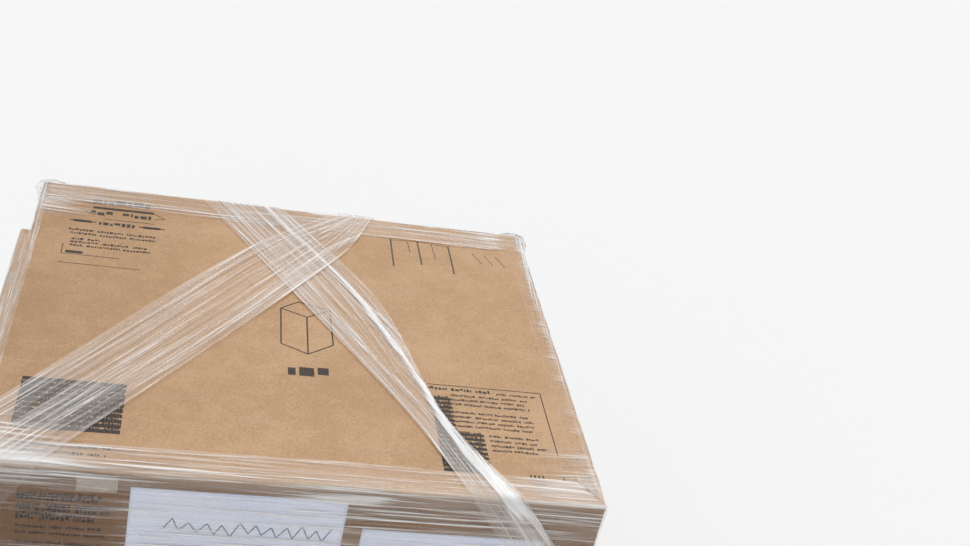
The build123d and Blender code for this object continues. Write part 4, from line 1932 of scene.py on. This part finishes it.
@dataclass
class FrontPrint:
    """Generic lines of print on the front, and pen strokes on the sheets."""

    skin: BoardSkin
    ink: Material  # finish of the printed marks
    pen: Material  # finish of the drawn marks

    def lines(self) -> list[Stroke]:
        """Lay the lines of print at the left.

        Returns:
            The strokes.
        """
        rng = np.random.default_rng(9)
        height = self.skin.z[1] - self.skin.z[0]
        strokes = []
        for drop, length in ((0.049, 0.104), (0.067, 0.114), (0.081, 0.096)):
            for half in (-0.0032, 0.0032):
                strokes += word_blocks(0.067, height - drop + half, length, 0.0068, rng)
        for drop, length in ((0.099, 0.110), (0.110, 0.112), (0.126, 0.108), (0.137, 0.100),
                             (0.148, 0.112)):
            strokes += word_blocks(0.067, height - drop, length, 0.0052, rng)
        return strokes

    def sheet_marks(self) -> list[Stroke]:
        """Draw a plain zigzag where each sheet was written on.

        Returns:
            The strokes.
        """
        rng = np.random.default_rng(12)
        height = self.skin.z[1] - self.skin.z[0]
        strokes = []
        for left, drop, count, tall in ((0.236, 0.084, 22, 0.022), (0.540, 0.140, 18, 0.018)):
            level = height - drop
            ends = [level + tall * side * rng.uniform(0.25, 0.6) for side in (-1, 1) * (count // 2)]
            places = left + np.cumsum(rng.uniform(0.35, 0.60, count)) * tall
            strokes += drawn(list(zip(places, ends)), 0.0016)
        return strokes

    def build(self) -> None:
        """Make the printed and the drawn marks."""
        InkMarks("front_print", self.skin, Face.FRONT, self.lines(), self.ink).build()
        InkMarks("sheet_pen_marks", self.skin, Face.FRONT, self.sheet_marks(), self.pen,
                 slot="paper_sheet", lift=0.00062).build()


# Studio

@dataclass
class Studio:
    """Pale floor, soft light and the camera."""

    floor: Material
    image: tuple[int, int] = (970, 546)  # width and height of the picture in pixels
    focal: float = 1369.26  # focal length in pixels
    sensor: float = 36.0  # width of the sensor in millimetres
    place: Triple = (-0.1948, -2.0106, 1.9595)
    # Angles to the right, down and about the line of sight, in degrees
    turn: Triple = (14.678, 28.475, 13.445)
    floor_size: float = 90.0  # side of the floor
    room: Triple = (0.93, 0.96, 1.0)  # colour of the light from all round
    room_power: float = 0.34  # its strength
    backdrop: Triple = (0.92, 0.92, 0.92)  # colour that the camera sees behind the load
    backdrop_power: float = 1.0  # its strength

    def camera(self) -> None:
        """Set up the camera at the photograph's viewing angle."""
        aside, down, roll = (math.radians(angle) for angle in self.turn)
        swing, tilt = (Matrix(((math.cos(angle), -math.sin(angle), 0),
                               (math.sin(angle), math.cos(angle), 0), (0, 0, 1)))
                       for angle in (aside, roll))
        dip = Matrix(((1, 0, 0), (0, -math.sin(down), -math.cos(down)),
                      (0, math.cos(down), -math.sin(down))))
        right, below, forward = tilt @ dip @ swing
        data = bpy.data.cameras.new("camera")
        data.sensor_width = self.sensor
        data.sensor_fit = "HORIZONTAL"
        data.lens = self.focal / self.image[0] * self.sensor
        camera = bpy.data.objects.new("camera", data)
        axes = Matrix((right, -below, -forward)).transposed().to_4x4()
        camera.matrix_world = Matrix.Translation(self.place) @ axes
        bpy.context.scene.collection.objects.link(camera)
        bpy.context.scene.camera = camera

    def sun(self, name: str, place: Triple, spread: float, power: float) -> None:
        """Add a wide soft source that shines on the load and the floor alike.

        Args:
            name: Name of the source.
            place: Where it stands as seen from the load.
            spread: Its width in degrees.
            power: Its strength in watts for each square metre.
        """
        data = bpy.data.lights.new(name, "SUN")
        data.angle = math.radians(spread)
        data.energy = power
        sun = bpy.data.objects.new(name, data)
        sun.rotation_euler = (-Vector(place)).to_track_quat("-Z", "Y").to_euler()
        bpy.context.scene.collection.objects.link(sun)

    def world(self) -> None:
        """Light the room evenly, and show it white to the camera and in gloss."""
        world = bpy.data.worlds.new("room")
        world.use_nodes = True
        tree = world.node_tree
        tree.nodes.clear()
        path = tree.nodes.new("ShaderNodeLightPath")
        seen = tree.nodes.new("ShaderNodeMath")
        seen.operation = "MAXIMUM"
        tree.links.new(path.outputs["Is Camera Ray"], seen.inputs[0])
        tree.links.new(path.outputs["Is Glossy Ray"], seen.inputs[1])
        mix = tree.nodes.new("ShaderNodeMixShader")
        tree.links.new(seen.outputs[0], mix.inputs[0])
        for socket, tint, strength in ((1, self.room, self.room_power),
                                       (2, self.backdrop, self.backdrop_power)):
            light = tree.nodes.new("ShaderNodeBackground")
            light.inputs["Color"].default_value = (*tint, 1.0)
            light.inputs["Strength"].default_value = strength
            tree.links.new(light.outputs[0], mix.inputs[socket])
        output = tree.nodes.new("ShaderNodeOutputWorld")
        tree.links.new(mix.outputs[0], output.inputs["Surface"])
        bpy.context.scene.world = world

    def build(self) -> None:
        """Make the floor, the lamps, the room and the camera."""
        half = self.floor_size / 2
        mesh = bpy.data.meshes.new("floor")
        corners = [(-half, -half, 0), (half, -half, 0), (half, half, 0), (-half, half, 0)]
        mesh.from_pydata(corners, [], [(0, 1, 2, 3)])
        mesh.materials.append(self.floor)
        ground = bpy.data.objects.new("floor", mesh)
        bpy.context.scene.collection.objects.link(ground)
        self.sun("overhead", (0.15, 0.30, 1.0), 55.0, 1.42)
        self.sun("behind", (0.55, 1.0, 0.95), 35.0, 0.80)
        self.sun("front_fill", (-0.35, -1.0, 0.45), 70.0, 0.36)
        self.world()
        self.camera()
        bpy.context.scene.view_settings.view_transform = "Standard"


# Sub-assemblies

@dataclass
class CartonStack:
    """Three lower cartons side by side, the upper one, their tape and the sheets."""

    board: Material
    tape: Material
    paper: Material
    lower_cell: float = 0.011  # mesh cell of the lower cartons
    upper_cell: float = 0.008  # mesh cell of the upper carton

    def build(self) -> BoardSkin:
        """Make the stack.

        Returns:
            The upper carton's surface.
        """
        for number, label in enumerate(("front", "middle", "back")):
            lower = Carton(f"carton_lower_{label}", FlapSide.TOP_AND_BOTTOM, 100 + 40 * number,
                           self.board, spacing=self.lower_cell)
            lower.build()
            FlapTape(f"tape_lower_{label}_top", lower, Face.TOP, self.tape).build()
            FlapTape(f"tape_lower_{label}_bottom", lower, Face.BOTTOM, self.tape).build()
        upper = Carton("carton_upper", FlapSide.FRONT_AND_BACK, 300, self.board, spacing=self.upper_cell)
        upper.build()
        FlapTape("tape_upper_front", upper, Face.FRONT, self.tape).build()
        FlapTape("tape_upper_back", upper, Face.BACK, self.tape).build()
        FrontSheet("label_sheet_left", upper.skin, self.paper, 21).build()
        FrontSheet("label_sheet_right", upper.skin, self.paper, 22).build()
        FrontSheet("tape_patch_front", upper.skin, self.tape, 23, slot="clear_tape", wave=0.0).build()
        return upper.skin


@dataclass
class StretchHood:
    """Both rings of film, with loose strands at the upper one's rims and corners."""

    skin: BoardSkin
    film: Material
    # Widths of the lower rim at the left, right, front and back
    lower_rims: tuple[float, float, float, float] = (0.046, 0.046, 0.008, 0.060)
    # Widths of the upper rim at the same sides
    upper_rims: tuple[float, float, float, float] = (0.014, 0.035, 0.050, 0.066)
    tuck: float = 0.060  # how far the upper ring reaches down over the tier's front
    foot_gap: float = 0.0012  # distance of its foot from the tier's top
    feathers: Span = (0.007, 0.036)  # where the feathers start and end, from the right edge
    feather_ends: Span = (0.04, 0.05)  # distance of the feathers from the front and from the back
    feather_lift: float = 0.0014  # their distance from the top

    def rings(self) -> None:
        """Make the ring round the tier and the one round the upper carton."""
        skin = self.skin
        tier_x, tier_front, (_, tier_top) = spans_of("carton_lower_front")
        tier_y = (tier_front[0], spans_of("carton_lower_back")[1][1])
        foot = spans_of("film_wrap")[2][0]
        HoodRing("film_lower_ring", tier_x, tier_y, tier_top, foot, foot, self.lower_rims,
                 self.film, 61).build()
        UpperHood("film_upper_ring", skin.x, skin.y, skin.z[1], tier_top + self.foot_gap,
                  tier_top - self.tuck, self.upper_rims, self.film, 71, reach=0.045,
                  flare_height=0.090, hem=0.012).build()

    def veils(self) -> None:
        """Make the thin runs of strands at the corners of the top."""
        wide, deep = self.skin.x[1] - self.skin.x[0], self.skin.y[1] - self.skin.y[0]
        for name, x, y, dense, gain, slant in (
                ("front_left", (0.003, 0.190), (0.030, 0.135), (0.0, 0.12), 1.55, 0.06),
                ("front_right", (wide - 0.150, wide - 0.004), (0.030, 0.150), (1.0, 0.12), 1.15, -0.05),
                ("back_left", (0.003, 0.150), (deep - 0.125, deep - 0.010), (0.0, 0.45), 1.75, 0.05),
                ("back_right", (wide - 0.140, wide - 0.004), (deep - 0.075, deep - 0.008), (1.0, 0.9),
                 1.0, -0.03)):
            TopVeil(f"film_veil_{name}", self.skin, x, y, dense, self.film, 101 + len(name), gain,
                    slant).build()

    def build(self) -> None:
        """Make the rings, the feathers on the right rim, the veils and the loose loops."""
        (left, right), (front, back), top = self.skin.x, self.skin.y, self.skin.z[1]
        self.rings()
        RimFeathers("film_right_feathers", (right - self.feathers[0], right - self.feathers[1]),
                    (front + self.feather_ends[0], back - self.feather_ends[1]),
                    top + self.feather_lift, self.film, 81).build()
        self.veils()
        CornerLoop("film_loop_back_left", (left, back, top), (1.0, -1.0), self.film, 83).build()
        CornerLoop("film_loop_back_right", (right, back, top), (-1.0, -1.0), self.film, 84,
                   height=0.055, crumple=0.0040, gain=1.3).build()


@dataclass
class CrossedBands:
    """The two gathered bands that cross on the upper carton's top.

    Places are measured from its front left top corner: to the right, back and down.
    """

    skin: BoardSkin
    finish: Material
    # The tightly drawn strand in the right band
    rope: Rope = Rope((0.0, 0.062, 0.128, 0.190, 0.250, 0.318, 0.400),
                      (0.70, 0.70, 0.78, 0.88, 0.93, 0.86, 0.78), 0.019, 0.0012)

    def on_box(self, x: float, y: float, z: float) -> Triple:
        """Give a measured place in the load's own frame."""
        return self.skin.x[0] + x, self.skin.y[0] + y, self.skin.z[1] - z

    def straight(self, near: Triple, far: Triple) -> list[Triple]:
        """Give a straight section between two measured places."""
        near, far = self.on_box(*near), self.on_box(*far)
        return [near, tuple((low + high) / 2 for low, high in zip(near, far)), far]

    def left_sections(self, foot: float) -> list[list[Triple]]:
        """Give the left band's sections, from the foot of the back to the left side.

        Half of the band crosses the left edge. The other half crosses the front edge and
        turns the upright edge below the corner first.

        Args:
            foot: How far below the carton's top the band ends.

        Returns:
            Near edge, middle and far edge at each turn.
        """
        depth = self.skin.y[1] - self.skin.y[0]
        back, middle, middle_y = (0.500, 0.567), (0.344, 0.496), 0.600
        beside, ahead, drop = 0.092, 0.090, (0.030, 0.141)
        lean = 0.70
        bent = [((0, beside, 0), (0, 0, 0), (ahead, 0, 0)),
                ((0, beside + lean * drop[0], drop[0]), (0, 0, drop[0]), (0, 0, drop[1])),
                ((0, beside + lean * foot, foot), (0, lean * (foot - drop[0]), foot),
                 (0, lean * (foot - drop[1]), foot))]
        return [
            self.straight((back[0] + lean * foot, depth, foot), (back[1] + lean * foot, depth, foot)),
            self.straight((back[0], depth, 0), (back[1], depth, 0)),
            self.straight((middle[0], middle_y, 0), (middle[1], middle_y, 0)),
            *([self.on_box(*place) for place in section] for section in bent)]

    def right_sections(self, foot: float) -> list[list[Triple]]:
        """Give the right band's sections, from the foot of the back to the right side.

        Args:
            foot: How far below the carton's top the band ends.

        Returns:
            Near edge, middle and far edge at each turn.
        """
        width, depth = self.skin.x[1] - self.skin.x[0], self.skin.y[1] - self.skin.y[0]
        back, middle, middle_y = (0.262, 0.400), (0.412, 0.551), 0.485
        pinch, pinch_y, front = (0.578, 0.632), 0.168, (0.645, 0.722)
        drop, back_lean, side_lean = (0.255, 0.153), (0.46, 0.66), 0.84
        ends = [((back[0] - back_lean[0] * foot, depth, foot),
                 (back[1] - back_lean[1] * foot, depth, foot)),
                ((back[0], depth, 0), (back[1], depth, 0)),
                ((middle[0], middle_y, 0), (middle[1], middle_y, 0)),
                ((pinch[0], pinch_y, 0), (pinch[1], pinch_y, 0)),
                ((front[0], 0, 0), (front[1], 0, 0)),
                ((width, 0, drop[0]), (width, 0, drop[1])),
                ((width, side_lean * (foot - drop[0]), foot),
                 (width, side_lean * (foot - drop[1]), foot))]
        return [self.straight(near, far) for near, far in ends]

    def build(self) -> None:
        """Make the right band and the left one that lies over it."""
        foot = self.skin.z[1] - spans_of("film_band_right")[2][0]
        GatheredBand("film_band_right", self.skin, self.right_sections(foot), 0.0019, self.finish, 91,
                     lanes=28, thick=(0.0007, 0.0016), veil=0.66, rope=self.rope,
                     strand_gain=0.80).build()
        GatheredBand("film_band_left", self.skin, self.left_sections(foot), 0.0048, self.finish, 95,
                     lanes=27, thick=(0.0007, 0.0015), veil=0.58, strand_gain=0.90, settle=0.90).build()


def main() -> None:
    """Build and dress the load, then the studio."""
    logging.basicConfig(level=logging.INFO, format="%(name)s: %(message)s")
    pallet = Pallet(PalletTimber().material(), NailSteel().material())
    pallet.dress()
    pallet.nails()
    skin = CartonStack(KraftBoard().material(), ClearTape().material(), SheetPaper().material()).build()

    pen = PrintInk("pen_ink", (0.09, 0.085, 0.09), 0.75).material()
    rubbed = PrintInk("rubbed_board", (0.72, 0.56, 0.40), 0.55).material()
    bold_ink = PrintInk("bold_ink", (0.030, 0.027, 0.026), 0.96).material()
    TopPrint(skin, PrintInk().material(), pen, rubbed).build()
    FrontPrint(skin, bold_ink, pen).build()

    gathered = StretchFilm("gathered_film", milk=0.30, strand=0.42, bold=0.40, pitch=0.0026, reach=0.16,
                           slant=0.02, relief=0.45, tint=(0.96, 0.905, 0.850)).material()
    StretchHood(skin, StretchFilm("stretch_film").material()).build()
    CrossedBands(skin, gathered).build()

    Studio(StudioFloor().material()).build()


if __name__ == "__main__":
    main()
